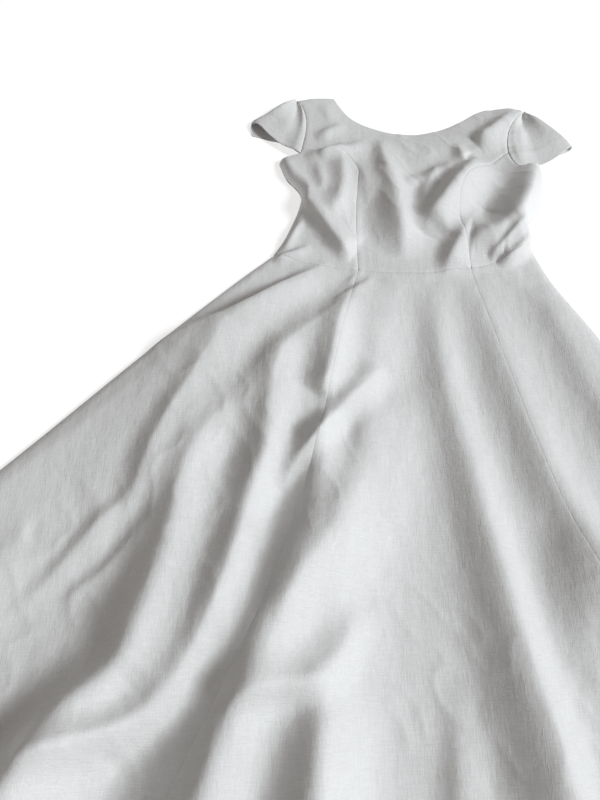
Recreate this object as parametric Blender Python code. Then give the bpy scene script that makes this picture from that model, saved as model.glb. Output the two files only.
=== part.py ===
# A-line dress with cap sleeves, laid out face up on a flat surface.
# Metres, +Z up. X runs across the dress and +Y from the hem to the neck.
# The origin is on the resting surface, under the middle of the waist.
# "Left" and "right" are as seen from above, with the neck away from the viewer.
from collections import namedtuple
import math

import bmesh
import bpy
import numpy as np
from mathutils import Vector
from mathutils.geometry import delaunay_2d_cdt

# Cloth and seams
CLOTH = 0.0015
SEAM_GAP = 0.0003
FRONT_UNDER = CLOTH + SEAM_GAP
STEEPEST = 2.4

# How the layers lie
FRONT_LIFT = 0.006
NECK_FLAT = 0.75
NECK_REACH = 0.060
SIDE_ROLL = 0.016
SHOULDER_ROLL = 0.010
BACK_FOLLOWS = 0.25
BACK_LIES_FLAT_ABOVE = -0.25
BACK_FOLLOWS_BELOW = -0.70

# Where the dress is seen from, over the resting surface, and how high it lies between the folds
VIEW_FOOT = (-0.165, -0.615)
VIEW_HEIGHT = 0.748
SKIRT_REST = 0.009
BODICE_REST = 0.012

# Shape of a crisp fold: how round its crest is, how fast it falls, and where it ends
CREST_ROUND = 0.2
CRISP_RATE = 0.7
CRISP_POWER = 1.35
CRISP_END = 2.4

# Where along the armhole a sleeve's puff starts and ends
PUFF_START = 0.15
PUFF_END = 0.80

# Mesh spacing
SKIRT_ROWS = 20
BODICE_SPACING = 0.015
BACK_SPACING = 0.040
FLAT_SPACING = 1.0
CLEAR_OF_EDGE = 0.6
SLEEVE_COLUMNS = 6
FOLD_ANGLES = (90, 45, 0, -45, -90)
CURVE_SAMPLES = 41
STEPS_PER_STRETCH = 16
SLOPE_REACH = 0.002
RIM_ANGLE = 60

# Side edges and panel seams of the skirt, each from the waist to the hem: (x, y)
SKIRT_LEFT_SIDE = [(-0.207, 0.003), (-0.268, -0.053), (-0.366, -0.151), (-0.549, -0.343), (-0.750, -0.546)]
SKIRT_LEFT_SEAM = [(-0.078, -0.027), (-0.110, -0.160), (-0.148, -0.330), (-0.205, -0.510),
                   (-0.325, -0.750)]
SKIRT_RIGHT_SEAM = [(0.091, -0.026), (0.119, -0.212), (0.158, -0.406), (0.265, -0.755)]
SKIRT_RIGHT_SIDE = [(0.191, 0.014), (0.213, -0.050), (0.250, -0.124), (0.290, -0.200), (0.400, -0.375),
                    (0.600, -0.650)]

# Each front panel of the skirt: its edges, how far its waist and its hem bow out, and its columns
SkirtPanel = namedtuple("SkirtPanel", "name left right waist_bow hem_bow columns")
SKIRT_PANELS = [
    SkirtPanel("skirt_front_left", SKIRT_LEFT_SIDE, SKIRT_LEFT_SEAM, 0.006, 0.024, 40),
    SkirtPanel("skirt_front_centre", SKIRT_LEFT_SEAM, SKIRT_RIGHT_SEAM, 0.007, 0.047, 50),
    SkirtPanel("skirt_front_right", SKIRT_RIGHT_SEAM, SKIRT_RIGHT_SIDE, 0.005, 0.025, 24),
]

# Edges and seams of the bodice: (x, y)
BODICE_LEFT_SIDE = [(-0.207, 0.003), (-0.184, 0.049), (-0.163, 0.122), (-0.187, 0.165), (-0.200, 0.201)]
LEFT_UNDERARM = [(-0.200, 0.201), (-0.187, 0.206), (-0.165, 0.214)]
LEFT_ARMHOLE_UPPER = [(-0.170, 0.352), (-0.159, 0.326), (-0.154, 0.295), (-0.156, 0.262), (-0.162, 0.226)]
LEFT_ARMHOLE_LOWER = [(-0.162, 0.226), (-0.165, 0.214)]
LEFT_SHOULDER = [(-0.170, 0.352), (-0.139, 0.360), (-0.105, 0.363)]
NECKLINE = [(-0.105, 0.363), (-0.093, 0.336), (-0.077, 0.310), (-0.054, 0.291), (-0.005, 0.270),
            (0.049, 0.269), (0.102, 0.291), (0.148, 0.323), (0.172, 0.332)]
RIGHT_SHOULDER = [(0.172, 0.332), (0.203, 0.335), (0.229, 0.327)]
RIGHT_ARMHOLE_UPPER = [(0.229, 0.327), (0.202, 0.286), (0.186, 0.250), (0.182, 0.214)]
RIGHT_ARMHOLE_LOWER = [(0.182, 0.214), (0.184, 0.192), (0.190, 0.170)]
RIGHT_UNDERARM = [(0.190, 0.170), (0.205, 0.170), (0.220, 0.177), (0.234, 0.184)]
BODICE_RIGHT_SIDE = [(0.234, 0.184), (0.233, 0.161), (0.224, 0.118), (0.208, 0.084), (0.187, 0.053),
                     (0.191, 0.014)]
LEFT_PRINCESS = [(-0.078, -0.027), (-0.078, 0.064), (-0.073, 0.135), (-0.071, 0.170), (-0.090, 0.204),
                 (-0.125, 0.218), (-0.162, 0.226)]
RIGHT_PRINCESS = [(0.091, -0.026), (0.086, 0.016), (0.078, 0.068), (0.090, 0.118), (0.132, 0.166),
                  (0.182, 0.214)]

# Each cap sleeve: the armhole it is set in and its folded top edge, both from the shoulder, how far the
# front and the back of its hem bow towards the neck and how the front rises, in rows of share of the way
# out and value, and the radius of the fold in rows of share of the way down and value
Sleeve = namedtuple("Sleeve", "name armhole fold front_hem back_hem rise fold_radius")
SLEEVES = [
    Sleeve("sleeve_left", (LEFT_ARMHOLE_UPPER, LEFT_ARMHOLE_LOWER),
           [(-0.177, 0.348), (-0.199, 0.336), (-0.229, 0.310), (-0.248, 0.289), (-0.251, 0.277)],
           [(0.0, 0.0), (0.22, 0.0), (0.44, 0.001), (0.66, 0.007), (0.82, 0.015), (1.0, 0.018)],
           [(0.0, 0.012), (0.20, 0.0145), (0.44, 0.0117), (0.64, 0.0042), (0.81, 0.0), (1.0, -0.006)],
           [(0.0, 0.0), (0.22, 0.001), (0.35, 0.0), (0.50, 0.003), (0.68, 0.008), (0.82, 0.011),
            (0.93, 0.009), (1.0, 0.0)],
           [(0.0, 0.0035), (0.5, 0.0040), (1.0, 0.0035)]),
    Sleeve("sleeve_right", (RIGHT_ARMHOLE_UPPER, RIGHT_ARMHOLE_LOWER),
           [(0.232, 0.3235), (0.243, 0.310), (0.263, 0.282), (0.286, 0.251), (0.296, 0.234)],
           [(0.0, 0.0), (0.25, -0.009), (0.50, -0.011), (0.75, -0.008), (1.0, 0.0)],
           [(0.0, 0.0), (0.25, 0.005), (0.50, 0.005), (0.75, 0.002), (1.0, 0.0)],
           [(0.0, 0.0), (0.15, -0.002), (0.30, -0.006), (0.45, -0.009), (0.60, -0.008), (0.75, -0.005),
            (0.90, -0.001), (1.0, 0.0)],
           [(0.0, 0.0030), (0.3, 0.0080), (0.7, 0.0085), (1.0, 0.0060)]),
]

# Folds of the front. Each is a crest from the waist outwards, in rows of x, y, height, and how wide it
# falls to its left and to its right. The crests are listed as they are seen from the viewpoint, over the
# resting surface, and are moved to where they lie at their height.
CRISP_SKIRT_FOLDS = {
    "left side, along the first crease": [
        (-0.119, -0.007, 0.000, 0.006, 0.020), (-0.164, -0.030, 0.012, 0.008, 0.032),
        (-0.199, -0.053, 0.021, 0.009, 0.040), (-0.239, -0.081, 0.025, 0.010, 0.045),
        (-0.279, -0.104, 0.023, 0.010, 0.045), (-0.319, -0.123, 0.016, 0.009, 0.040),
        (-0.359, -0.147, 0.007, 0.008, 0.030), (-0.389, -0.167, 0.000, 0.008, 0.020)],
    "left side, upper": [
        (-0.266, -0.128, 0.000, 0.012, 0.028), (-0.282, -0.158, 0.008, 0.013, 0.030),
        (-0.302, -0.193, 0.012, 0.013, 0.034), (-0.321, -0.230, 0.015, 0.013, 0.036),
        (-0.340, -0.268, 0.017, 0.013, 0.036), (-0.354, -0.302, 0.018, 0.014, 0.032),
        (-0.363, -0.335, 0.017, 0.014, 0.026), (-0.369, -0.365, 0.011, 0.013, 0.020),
        (-0.374, -0.398, 0.000, 0.010, 0.016)],
    "left side, thin crease": [
        (-0.365, -0.360, 0.000, 0.006, 0.012), (-0.389, -0.388, 0.005, 0.008, 0.015),
        (-0.414, -0.412, 0.007, 0.009, 0.015), (-0.434, -0.440, 0.007, 0.009, 0.015),
        (-0.455, -0.470, 0.006, 0.009, 0.014), (-0.479, -0.500, 0.003, 0.008, 0.013),
        (-0.503, -0.528, 0.000, 0.007, 0.012)],
    "left side, second crease": [
        (-0.340, -0.403, 0.000, 0.006, 0.010), (-0.367, -0.432, 0.004, 0.007, 0.012),
        (-0.391, -0.463, 0.005, 0.007, 0.012), (-0.419, -0.488, 0.004, 0.007, 0.012),
        (-0.447, -0.513, 0.000, 0.006, 0.012)],
    "left side, lower": [
        (-0.480, -0.400, 0.000, 0.016, 0.030), (-0.545, -0.480, 0.010, 0.016, 0.034),
        (-0.620, -0.575, 0.018, 0.018, 0.036), (-0.690, -0.660, 0.020, 0.018, 0.036)],
    "first long fold": [
        (-0.180, -0.150, 0.000, 0.012, 0.018), (-0.203, -0.180, 0.011, 0.018, 0.024),
        (-0.224, -0.206, 0.014, 0.021, 0.028), (-0.243, -0.232, 0.016, 0.022, 0.028),
        (-0.262, -0.257, 0.017, 0.022, 0.028), (-0.281, -0.281, 0.019, 0.021, 0.028),
        (-0.298, -0.305, 0.023, 0.019, 0.030), (-0.309, -0.332, 0.027, 0.019, 0.030),
        (-0.317, -0.370, 0.032, 0.022, 0.030), (-0.325, -0.430, 0.038, 0.026, 0.030),
        (-0.342, -0.492, 0.041, 0.031, 0.028), (-0.353, -0.527, 0.042, 0.033, 0.026),
        (-0.362, -0.560, 0.043, 0.028, 0.024), (-0.381, -0.584, 0.041, 0.023, 0.024),
        (-0.407, -0.603, 0.041, 0.021, 0.026), (-0.433, -0.626, 0.042, 0.022, 0.030),
        (-0.455, -0.663, 0.043, 0.024, 0.034), (-0.531, -0.799, 0.043, 0.026, 0.036)],
    "second long fold": [
        (-0.052, -0.036, 0.000, 0.010, 0.014), (-0.084, -0.063, 0.014, 0.016, 0.020),
        (-0.124, -0.103, 0.023, 0.020, 0.026), (-0.163, -0.138, 0.027, 0.020, 0.028),
        (-0.186, -0.168, 0.028, 0.019, 0.028), (-0.198, -0.208, 0.034, 0.019, 0.026),
        (-0.203, -0.260, 0.042, 0.025, 0.018), (-0.212, -0.315, 0.044, 0.025, 0.018),
        (-0.232, -0.380, 0.042, 0.025, 0.018), (-0.249, -0.445, 0.043, 0.027, 0.018),
        (-0.269, -0.505, 0.044, 0.030, 0.018), (-0.289, -0.550, 0.042, 0.029, 0.018),
        (-0.311, -0.590, 0.038, 0.023, 0.018), (-0.336, -0.619, 0.036, 0.017, 0.018),
        (-0.374, -0.638, 0.039, 0.015, 0.016), (-0.418, -0.648, 0.030, 0.013, 0.014),
        (-0.456, -0.657, 0.005, 0.010, 0.012)],
    "short fold by the seam": [
        (-0.093, -0.075, 0.000, 0.009, 0.014), (-0.106, -0.110, 0.012, 0.013, 0.018),
        (-0.116, -0.165, 0.023, 0.018, 0.022), (-0.124, -0.205, 0.027, 0.021, 0.020),
        (-0.130, -0.232, 0.016, 0.019, 0.012), (-0.136, -0.256, 0.000, 0.014, 0.010)],
    "thin fold across the seam": [
        (-0.053, -0.197, 0.000, 0.012, 0.011), (-0.072, -0.212, 0.016, 0.018, 0.011),
        (-0.098, -0.236, 0.028, 0.022, 0.011), (-0.118, -0.260, 0.034, 0.023, 0.011),
        (-0.133, -0.282, 0.037, 0.021, 0.010), (-0.152, -0.304, 0.036, 0.018, 0.009),
        (-0.167, -0.326, 0.032, 0.015, 0.008), (-0.180, -0.349, 0.020, 0.012, 0.008),
        (-0.193, -0.372, 0.000, 0.010, 0.009)],
    "long fold along the seam": [
        (-0.129, -0.266, 0.000, 0.014, 0.014), (-0.134, -0.294, 0.022, 0.018, 0.016),
        (-0.140, -0.328, 0.031, 0.022, 0.022), (-0.146, -0.370, 0.034, 0.026, 0.030),
        (-0.153, -0.405, 0.041, 0.029, 0.034), (-0.165, -0.440, 0.055, 0.039, 0.036),
        (-0.177, -0.470, 0.060, 0.039, 0.036), (-0.201, -0.530, 0.064, 0.039, 0.036),
        (-0.228, -0.590, 0.059, 0.033, 0.038), (-0.251, -0.650, 0.058, 0.032, 0.040),
        (-0.300, -0.800, 0.058, 0.032, 0.042)],
    "crumpled fold beside the seam": [
        (-0.068, -0.225, 0.000, 0.012, 0.024), (-0.073, -0.255, 0.009, 0.017, 0.028),
        (-0.080, -0.290, 0.014, 0.021, 0.032), (-0.087, -0.325, 0.017, 0.023, 0.034),
        (-0.098, -0.360, 0.020, 0.024, 0.036), (-0.110, -0.395, 0.022, 0.023, 0.036),
        (-0.127, -0.430, 0.021, 0.021, 0.032), (-0.148, -0.463, 0.017, 0.018, 0.026),
        (-0.172, -0.498, 0.010, 0.014, 0.020), (-0.195, -0.530, 0.000, 0.012, 0.016)],
    "fold at the hem left of the centre": [
        (-0.131, -0.575, 0.000, 0.014, 0.018), (-0.137, -0.608, 0.022, 0.022, 0.022),
        (-0.142, -0.645, 0.042, 0.028, 0.024), (-0.146, -0.690, 0.050, 0.030, 0.026),
        (-0.160, -0.810, 0.052, 0.032, 0.028)],
    "crease across the seam trough": [
        (-0.100, -0.505, 0.000, 0.014, 0.016), (-0.110, -0.540, 0.014, 0.016, 0.015),
        (-0.130, -0.570, 0.023, 0.018, 0.014), (-0.160, -0.586, 0.027, 0.018, 0.013),
        (-0.192, -0.593, 0.024, 0.017, 0.012), (-0.220, -0.600, 0.014, 0.015, 0.010),
        (-0.244, -0.610, 0.000, 0.012, 0.009)],
}
SOFT_SKIRT_FOLDS = {
    "fold right of the centre": [
        (0.032, -0.045, 0.000, 0.012, 0.014), (0.034, -0.088, 0.006, 0.015, 0.016),
        (0.035, -0.149, 0.011, 0.016, 0.018), (0.039, -0.220, 0.013, 0.017, 0.018),
        (0.047, -0.274, 0.014, 0.018, 0.018), (0.056, -0.327, 0.017, 0.020, 0.018),
        (0.066, -0.402, 0.023, 0.022, 0.018), (0.077, -0.463, 0.028, 0.025, 0.018),
        (0.087, -0.534, 0.032, 0.027, 0.019), (0.100, -0.606, 0.037, 0.030, 0.020),
        (0.113, -0.677, 0.041, 0.032, 0.022), (0.130, -0.820, 0.041, 0.034, 0.024)],
    "fold by the right seam": [
        (0.098, -0.035, 0.000, 0.014, 0.018), (0.106, -0.090, 0.007, 0.018, 0.020),
        (0.117, -0.150, 0.011, 0.020, 0.022), (0.127, -0.200, 0.013, 0.021, 0.023),
        (0.137, -0.250, 0.015, 0.021, 0.023), (0.149, -0.300, 0.017, 0.021, 0.022),
        (0.160, -0.350, 0.019, 0.021, 0.022), (0.172, -0.392, 0.021, 0.024, 0.022),
        (0.189, -0.426, 0.026, 0.029, 0.022), (0.206, -0.460, 0.029, 0.034, 0.024),
        (0.221, -0.505, 0.025, 0.033, 0.028), (0.238, -0.570, 0.020, 0.025, 0.030),
        (0.264, -0.680, 0.021, 0.019, 0.030), (0.290, -0.800, 0.024, 0.019, 0.030)],
    "branch of the right fold": [
        (0.142, -0.415, 0.000, 0.016, 0.014), (0.142, -0.450, 0.017, 0.021, 0.020),
        (0.143, -0.490, 0.026, 0.024, 0.026), (0.146, -0.535, 0.027, 0.024, 0.028),
        (0.152, -0.575, 0.016, 0.020, 0.026), (0.162, -0.620, 0.000, 0.014, 0.018)],
    "fold at the right side": [
        (0.188, -0.050, 0.000, 0.014, 0.020), (0.206, -0.100, 0.007, 0.015, 0.022),
        (0.222, -0.160, 0.007, 0.016, 0.024), (0.240, -0.235, 0.008, 0.016, 0.026),
        (0.270, -0.330, 0.013, 0.015, 0.028), (0.330, -0.470, 0.017, 0.015, 0.030),
        (0.400, -0.620, 0.021, 0.016, 0.032), (0.460, -0.760, 0.024, 0.016, 0.034)],
    "outer fold at the right side": [
        (0.400, -0.430, 0.000, 0.014, 0.020), (0.455, -0.520, 0.010, 0.014, 0.022),
        (0.520, -0.620, 0.016, 0.014, 0.024), (0.560, -0.700, 0.018, 0.014, 0.026)],
    "fold at the middle of the hem": [
        (0.004, -0.590, 0.000, 0.008, 0.016), (0.004, -0.650, 0.007, 0.010, 0.018),
        (0.002, -0.700, 0.012, 0.012, 0.020), (0.000, -0.820, 0.015, 0.012, 0.022)],
    "broad rise to the first long fold": [
        (-0.300, -0.330, 0.000, 0.040, 0.030), (-0.325, -0.400, 0.005, 0.050, 0.034),
        (-0.350, -0.480, 0.009, 0.055, 0.036), (-0.372, -0.545, 0.010, 0.055, 0.038),
        (-0.430, -0.610, 0.009, 0.050, 0.040), (-0.500, -0.700, 0.006, 0.050, 0.040),
        (-0.560, -0.800, 0.005, 0.050, 0.040)],
    "left side, broad rise": [
        (-0.144, -0.040, 0.000, 0.015, 0.050), (-0.194, -0.068, 0.010, 0.016, 0.070),
        (-0.250, -0.110, 0.014, 0.019, 0.085), (-0.290, -0.149, 0.014, 0.030, 0.085),
        (-0.322, -0.200, 0.014, 0.042, 0.080), (-0.345, -0.250, 0.013, 0.045, 0.070),
        (-0.366, -0.305, 0.010, 0.045, 0.060), (-0.392, -0.360, 0.006, 0.040, 0.050),
        (-0.430, -0.415, 0.000, 0.030, 0.050)],
    "rise along the left side": [
        (-0.300, -0.100, 0.000, 0.020, 0.060), (-0.350, -0.148, 0.006, 0.020, 0.065),
        (-0.410, -0.205, 0.011, 0.020, 0.070), (-0.480, -0.275, 0.013, 0.020, 0.075),
        (-0.560, -0.352, 0.013, 0.020, 0.080), (-0.650, -0.440, 0.013, 0.020, 0.080),
        (-0.750, -0.540, 0.012, 0.020, 0.080)],
    "soft fold at the centre left": [
        (-0.020, -0.030, 0.000, 0.014, 0.020), (-0.040, -0.070, 0.007, 0.018, 0.022),
        (-0.049, -0.110, 0.012, 0.021, 0.024), (-0.055, -0.155, 0.013, 0.022, 0.024),
        (-0.061, -0.190, 0.011, 0.020, 0.022), (-0.070, -0.225, 0.000, 0.014, 0.018)],
    "broad fold left of the centre": [
        (-0.045, -0.200, 0.000, 0.022, 0.030), (-0.060, -0.250, 0.006, 0.022, 0.034),
        (-0.075, -0.310, 0.009, 0.022, 0.036), (-0.092, -0.380, 0.012, 0.022, 0.036),
        (-0.106, -0.450, 0.015, 0.024, 0.034), (-0.118, -0.520, 0.015, 0.024, 0.034),
        (-0.132, -0.600, 0.015, 0.026, 0.036), (-0.160, -0.720, 0.015, 0.026, 0.040),
        (-0.170, -0.820, 0.015, 0.026, 0.040)],
}
CRISP_BODICE_FOLDS = {
    "left side": [
        (-0.191, 0.203, 0.007, 0.007, 0.014), (-0.181, 0.173, 0.011, 0.007, 0.015),
        (-0.166, 0.143, 0.013, 0.007, 0.018), (-0.141, 0.107, 0.018, 0.008, 0.022),
        (-0.119, 0.069, 0.019, 0.008, 0.022), (-0.099, 0.037, 0.018, 0.008, 0.018),
        (-0.091, 0.018, 0.009, 0.008, 0.014), (-0.084, 0.004, 0.000, 0.007, 0.012)],
    "left of the seam": [
        (-0.096, 0.225, 0.000, 0.011, 0.012), (-0.095, 0.200, 0.010, 0.012, 0.012),
        (-0.094, 0.165, 0.014, 0.013, 0.012), (-0.100, 0.130, 0.014, 0.013, 0.012),
        (-0.109, 0.100, 0.010, 0.012, 0.012), (-0.116, 0.075, 0.000, 0.010, 0.012)],
    "centre": [
        (-0.030, 0.262, 0.000, 0.008, 0.012), (-0.024, 0.225, 0.006, 0.009, 0.014),
        (-0.018, 0.190, 0.012, 0.014, 0.018), (-0.010, 0.150, 0.022, 0.019, 0.020),
        (-0.006, 0.110, 0.026, 0.020, 0.020), (-0.003, 0.070, 0.023, 0.018, 0.020),
        (-0.004, 0.035, 0.012, 0.014, 0.018), (-0.006, 0.000, 0.000, 0.010, 0.014)],
    "right of the centre": [
        (0.134, 0.212, 0.000, 0.010, 0.016), (0.122, 0.197, 0.024, 0.018, 0.024),
        (0.098, 0.168, 0.033, 0.020, 0.024), (0.075, 0.136, 0.035, 0.020, 0.024),
        (0.053, 0.104, 0.031, 0.019, 0.024), (0.039, 0.074, 0.015, 0.016, 0.020),
        (0.028, 0.045, 0.000, 0.008, 0.016)],
    "low, right of the centre": [
        (0.122, 0.096, 0.000, 0.010, 0.016), (0.106, 0.070, 0.018, 0.014, 0.020),
        (0.088, 0.042, 0.024, 0.016, 0.020), (0.075, 0.012, 0.021, 0.015, 0.018),
        (0.068, -0.010, 0.010, 0.012, 0.016), (0.064, -0.030, 0.000, 0.010, 0.014)],
    "right side": [
        (0.234, 0.205, 0.014, 0.019, 0.010), (0.228, 0.176, 0.030, 0.023, 0.012),
        (0.217, 0.144, 0.040, 0.024, 0.014), (0.202, 0.116, 0.042, 0.024, 0.016),
        (0.183, 0.092, 0.040, 0.023, 0.017), (0.158, 0.072, 0.034, 0.021, 0.017),
        (0.132, 0.055, 0.026, 0.018, 0.015), (0.110, 0.040, 0.014, 0.014, 0.013),
        (0.094, 0.028, 0.000, 0.010, 0.012)],
    "right side, low roll": [
        (0.192, 0.066, 0.000, 0.004, 0.006), (0.176, 0.051, 0.006, 0.005, 0.006),
        (0.158, 0.035, 0.009, 0.005, 0.006), (0.138, 0.017, 0.008, 0.005, 0.006),
        (0.122, 0.003, 0.000, 0.005, 0.005)],
    "right waist, flap": [
        (0.206, 0.064, 0.000, 0.006, 0.006), (0.196, 0.046, 0.015, 0.010, 0.006),
        (0.178, 0.026, 0.020, 0.010, 0.006), (0.158, 0.010, 0.017, 0.009, 0.005),
        (0.136, -0.002, 0.000, 0.006, 0.005)],
    "right shoulder": [
        (0.224, 0.341, 0.000, 0.010, 0.014), (0.206, 0.324, 0.012, 0.014, 0.018),
        (0.185, 0.301, 0.018, 0.016, 0.020), (0.164, 0.277, 0.018, 0.016, 0.020),
        (0.147, 0.258, 0.012, 0.015, 0.018), (0.131, 0.240, 0.000, 0.012, 0.016)],
}
SOFT_BODICE_FOLDS = {
    "front, upper": [
        (0.096, 0.206, 0.000, 0.008, 0.010), (0.075, 0.188, 0.006, 0.009, 0.010),
        (0.045, 0.169, 0.008, 0.010, 0.010), (0.020, 0.154, 0.006, 0.009, 0.010),
        (0.004, 0.143, 0.000, 0.008, 0.009)],
    "front, upper left": [
        (-0.050, 0.262, 0.000, 0.006, 0.010), (-0.080, 0.248, 0.006, 0.008, 0.011),
        (-0.105, 0.240, 0.009, 0.009, 0.011), (-0.135, 0.235, 0.007, 0.008, 0.010),
        (-0.158, 0.230, 0.000, 0.007, 0.009)],
    "upper left, second": [
        (-0.085, 0.302, 0.000, 0.006, 0.010), (-0.105, 0.294, 0.006, 0.007, 0.010),
        (-0.122, 0.279, 0.008, 0.008, 0.010), (-0.140, 0.263, 0.000, 0.007, 0.009)],
}

# Rounded fullness of the bust: centre, reach and height
Mound = namedtuple("Mound", "x y reach_x reach_y height")
MOUNDS = [
    Mound(-0.110, 0.130, 0.070, 0.080, 0.007),
    Mound(0.125, 0.120, 0.080, 0.080, 0.010),
    Mound(0.000, 0.140, 0.120, 0.100, 0.006),
]

# Cloth colour, white linen
LINEN_COLOUR = (0.80, 0.80, 0.79, 1.0)
LINEN_ROUGHNESS = 0.9


def clear_scene():
    for obj in list(bpy.data.objects):
        bpy.data.objects.remove(obj)


def smooth_curve(points, samples=CURVE_SAMPLES):
    """Evenly spaced points on a smooth curve through the given ones."""
    points = np.array(points, float)
    ends = np.vstack([2 * points[0] - points[1], points, 2 * points[-1] - points[-2]])
    stretches = []
    for a, b, c, d in zip(ends, ends[1:], ends[2:], ends[3:]):
        t = np.linspace(0, 1, STEPS_PER_STRETCH, endpoint=False)[:, None]
        bend = (c - a) * t + (2 * a - 5 * b + 4 * c - d) * t**2 + (3 * b - a - 3 * c + d) * t**3
        stretches.append(b + 0.5 * bend)
    line = np.vstack(stretches + [points[-1:]])
    length = np.concatenate([[0], np.cumsum(np.linalg.norm(np.diff(line[:, :2], axis=0), axis=1))])
    wanted = np.linspace(0, length[-1], samples)
    return np.stack([np.interp(wanted, length, line[:, k]) for k in range(line.shape[1])], axis=1)


def spaced_curve(points, spacing):
    line = smooth_curve(points)
    length = np.linalg.norm(np.diff(line, axis=0), axis=1).sum()
    return smooth_curve(points, max(2, round(length / spacing) + 1))


def nearest_on_line(xy, line):
    """Distance from each point to a polyline, the side it is on, and its place along it from 0 to 1."""
    start = line[:-1, :2]
    step = np.diff(line[:, :2], axis=0)
    from_start = xy[:, None, :] - start[None]
    share = np.clip((from_start * step).sum(2) / (step**2).sum(1), 0, 1)
    away = from_start - share[..., None] * step
    distance = np.linalg.norm(away, axis=2)
    best = distance.argmin(axis=1)
    rows = np.arange(len(xy))
    side = step[best, 0] * away[rows, best, 1] - step[best, 1] * away[rows, best, 0]
    return distance[rows, best], np.sign(side), (best + share[rows, best]) / len(step)


def placed(rows, rest):
    """Crest rows moved from where they are seen to where they lie."""
    rows = np.array(rows, float)
    foot = np.array(VIEW_FOOT)
    rows[:, :2] = foot + (rows[:, :2] - foot) * (1 - (rest + rows[:, 2:3]) / VIEW_HEIGHT)
    return rows


def fold_height(xy, rows, rest, crisp):
    crest = smooth_curve(placed(rows, rest))
    distance, side, along = nearest_on_line(xy, crest)
    height, left, right = [np.interp(along, np.linspace(0, 1, len(crest)), crest[:, k]) for k in (2, 3, 4)]
    away = distance / np.where(side < 0, left, right)
    if crisp:
        slope = (np.sqrt(away**2 + CREST_ROUND**2) - CREST_ROUND) ** CRISP_POWER
        drop = CRISP_RATE * slope + (away / CRISP_END) ** 4
    else:
        drop = 0.5 * away**2
    return height * np.exp(-drop)


def folds_height(xy):
    tables = [
        (CRISP_SKIRT_FOLDS, SKIRT_REST, True),
        (SOFT_SKIRT_FOLDS, SKIRT_REST, False),
        (CRISP_BODICE_FOLDS, BODICE_REST, True),
        (SOFT_BODICE_FOLDS, BODICE_REST, False),
    ]
    return sum(fold_height(xy, rows, rest, crisp) for table, rest, crisp in tables for rows in table.values())


def mounds_height(xy):
    total = np.zeros(len(xy))
    for mound in MOUNDS:
        away = ((xy[:, 0] - mound.x) / mound.reach_x) ** 2 + ((xy[:, 1] - mound.y) / mound.reach_y) ** 2
        total += mound.height * np.exp(-0.5 * away)
    return total


def side_rounding(xy):
    """0 at the folded sides and shoulders, rising as a quarter circle to 1 inside them."""
    factor = np.ones(len(xy))
    rolls = [
        (SKIRT_LEFT_SIDE, SIDE_ROLL),
        (SKIRT_RIGHT_SIDE, SIDE_ROLL),
        (BODICE_LEFT_SIDE, SIDE_ROLL),
        (BODICE_RIGHT_SIDE, SIDE_ROLL),
        (LEFT_SHOULDER, SHOULDER_ROLL),
        (RIGHT_SHOULDER, SHOULDER_ROLL),
    ]
    for line, roll in rolls:
        distance = nearest_on_line(xy, smooth_curve(line))[0]
        share = np.clip(distance / roll, 0, 1)
        factor = np.minimum(factor, np.sqrt(1 - (1 - share) ** 2))
    return factor


def front_height(xy):
    """Height of the underside of the front layer."""
    neck = np.clip(nearest_on_line(xy, smooth_curve(NECKLINE))[0] / NECK_REACH, 0, 1)
    flat = 1 - NECK_FLAT * (1 - neck) ** 2
    lift = (FRONT_LIFT + mounds_height(xy)) * flat + folds_height(xy)
    return FRONT_UNDER + lift * side_rounding(xy)


def back_height(xy):
    """Height of the underside of the back layer: it lies flat, and follows the folds towards the hem."""
    down = (xy[:, 1] - BACK_LIES_FLAT_ABOVE) / (BACK_FOLLOWS_BELOW - BACK_LIES_FLAT_ABOVE)
    over = np.maximum(folds_height(xy) - FRONT_LIFT, 0)
    return BACK_FOLLOWS * np.clip(down, 0, 1) * over * side_rounding(xy)


def flat_height(xy):
    return np.zeros(len(xy))


def slope_factor(height, xy):
    """How much thicker the wall of a sloping sheet is when measured straight up."""
    reach = SLOPE_REACH
    across = (height(xy + [reach, 0]) - height(xy - [reach, 0])) / (2 * reach)
    along = (height(xy + [0, reach]) - height(xy - [0, reach])) / (2 * reach)
    return np.minimum(np.sqrt(1 + across**2 + along**2), STEEPEST)


def linen():
    material = bpy.data.materials.get("linen") or bpy.data.materials.new("linen")
    material.use_nodes = True
    shader = material.node_tree.nodes["Principled BSDF"]
    shader.inputs["Base Color"].default_value = LINEN_COLOUR
    shader.inputs["Roughness"].default_value = LINEN_ROUGHNESS
    shader.inputs["Metallic"].default_value = 0.0
    return material


def add_object(name, shape):
    """A named piece in the dress's collection, from a bmesh."""
    bmesh.ops.recalc_face_normals(shape, faces=shape.faces)
    mesh = bpy.data.meshes.new(name)
    shape.to_mesh(mesh)
    shape.free()
    mesh.shade_smooth()
    mesh.set_sharp_from_angle(angle=math.radians(RIM_ANGLE))
    mesh.materials.append(linen())
    obj = bpy.data.objects.new(name, mesh)
    dress.objects.link(obj)


def add_wall(name, plan, faces, height):
    """A panel of cloth: a surface over the plan at the given height, extruded up by the cloth's wall."""
    under = height(plan)
    rise = CLOTH * slope_factor(height, plan)
    shell = bmesh.new()
    lower = [shell.verts.new((x, y, z)) for (x, y), z in zip(plan, under)]
    for corners in faces:
        shell.faces.new([lower[i] for i in corners])
    number = shell.verts.layers.int.new("number")
    shell.verts.ensure_lookup_table()
    for index, vert in enumerate(shell.verts):
        vert[number] = index
    raised = bmesh.ops.extrude_face_region(shell, geom=list(shell.faces), use_keep_orig=True)["geom"]
    for part in raised:
        if isinstance(part, bmesh.types.BMVert):
            part.co.z += rise[part[number]]
    add_object(name, shell)


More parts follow.
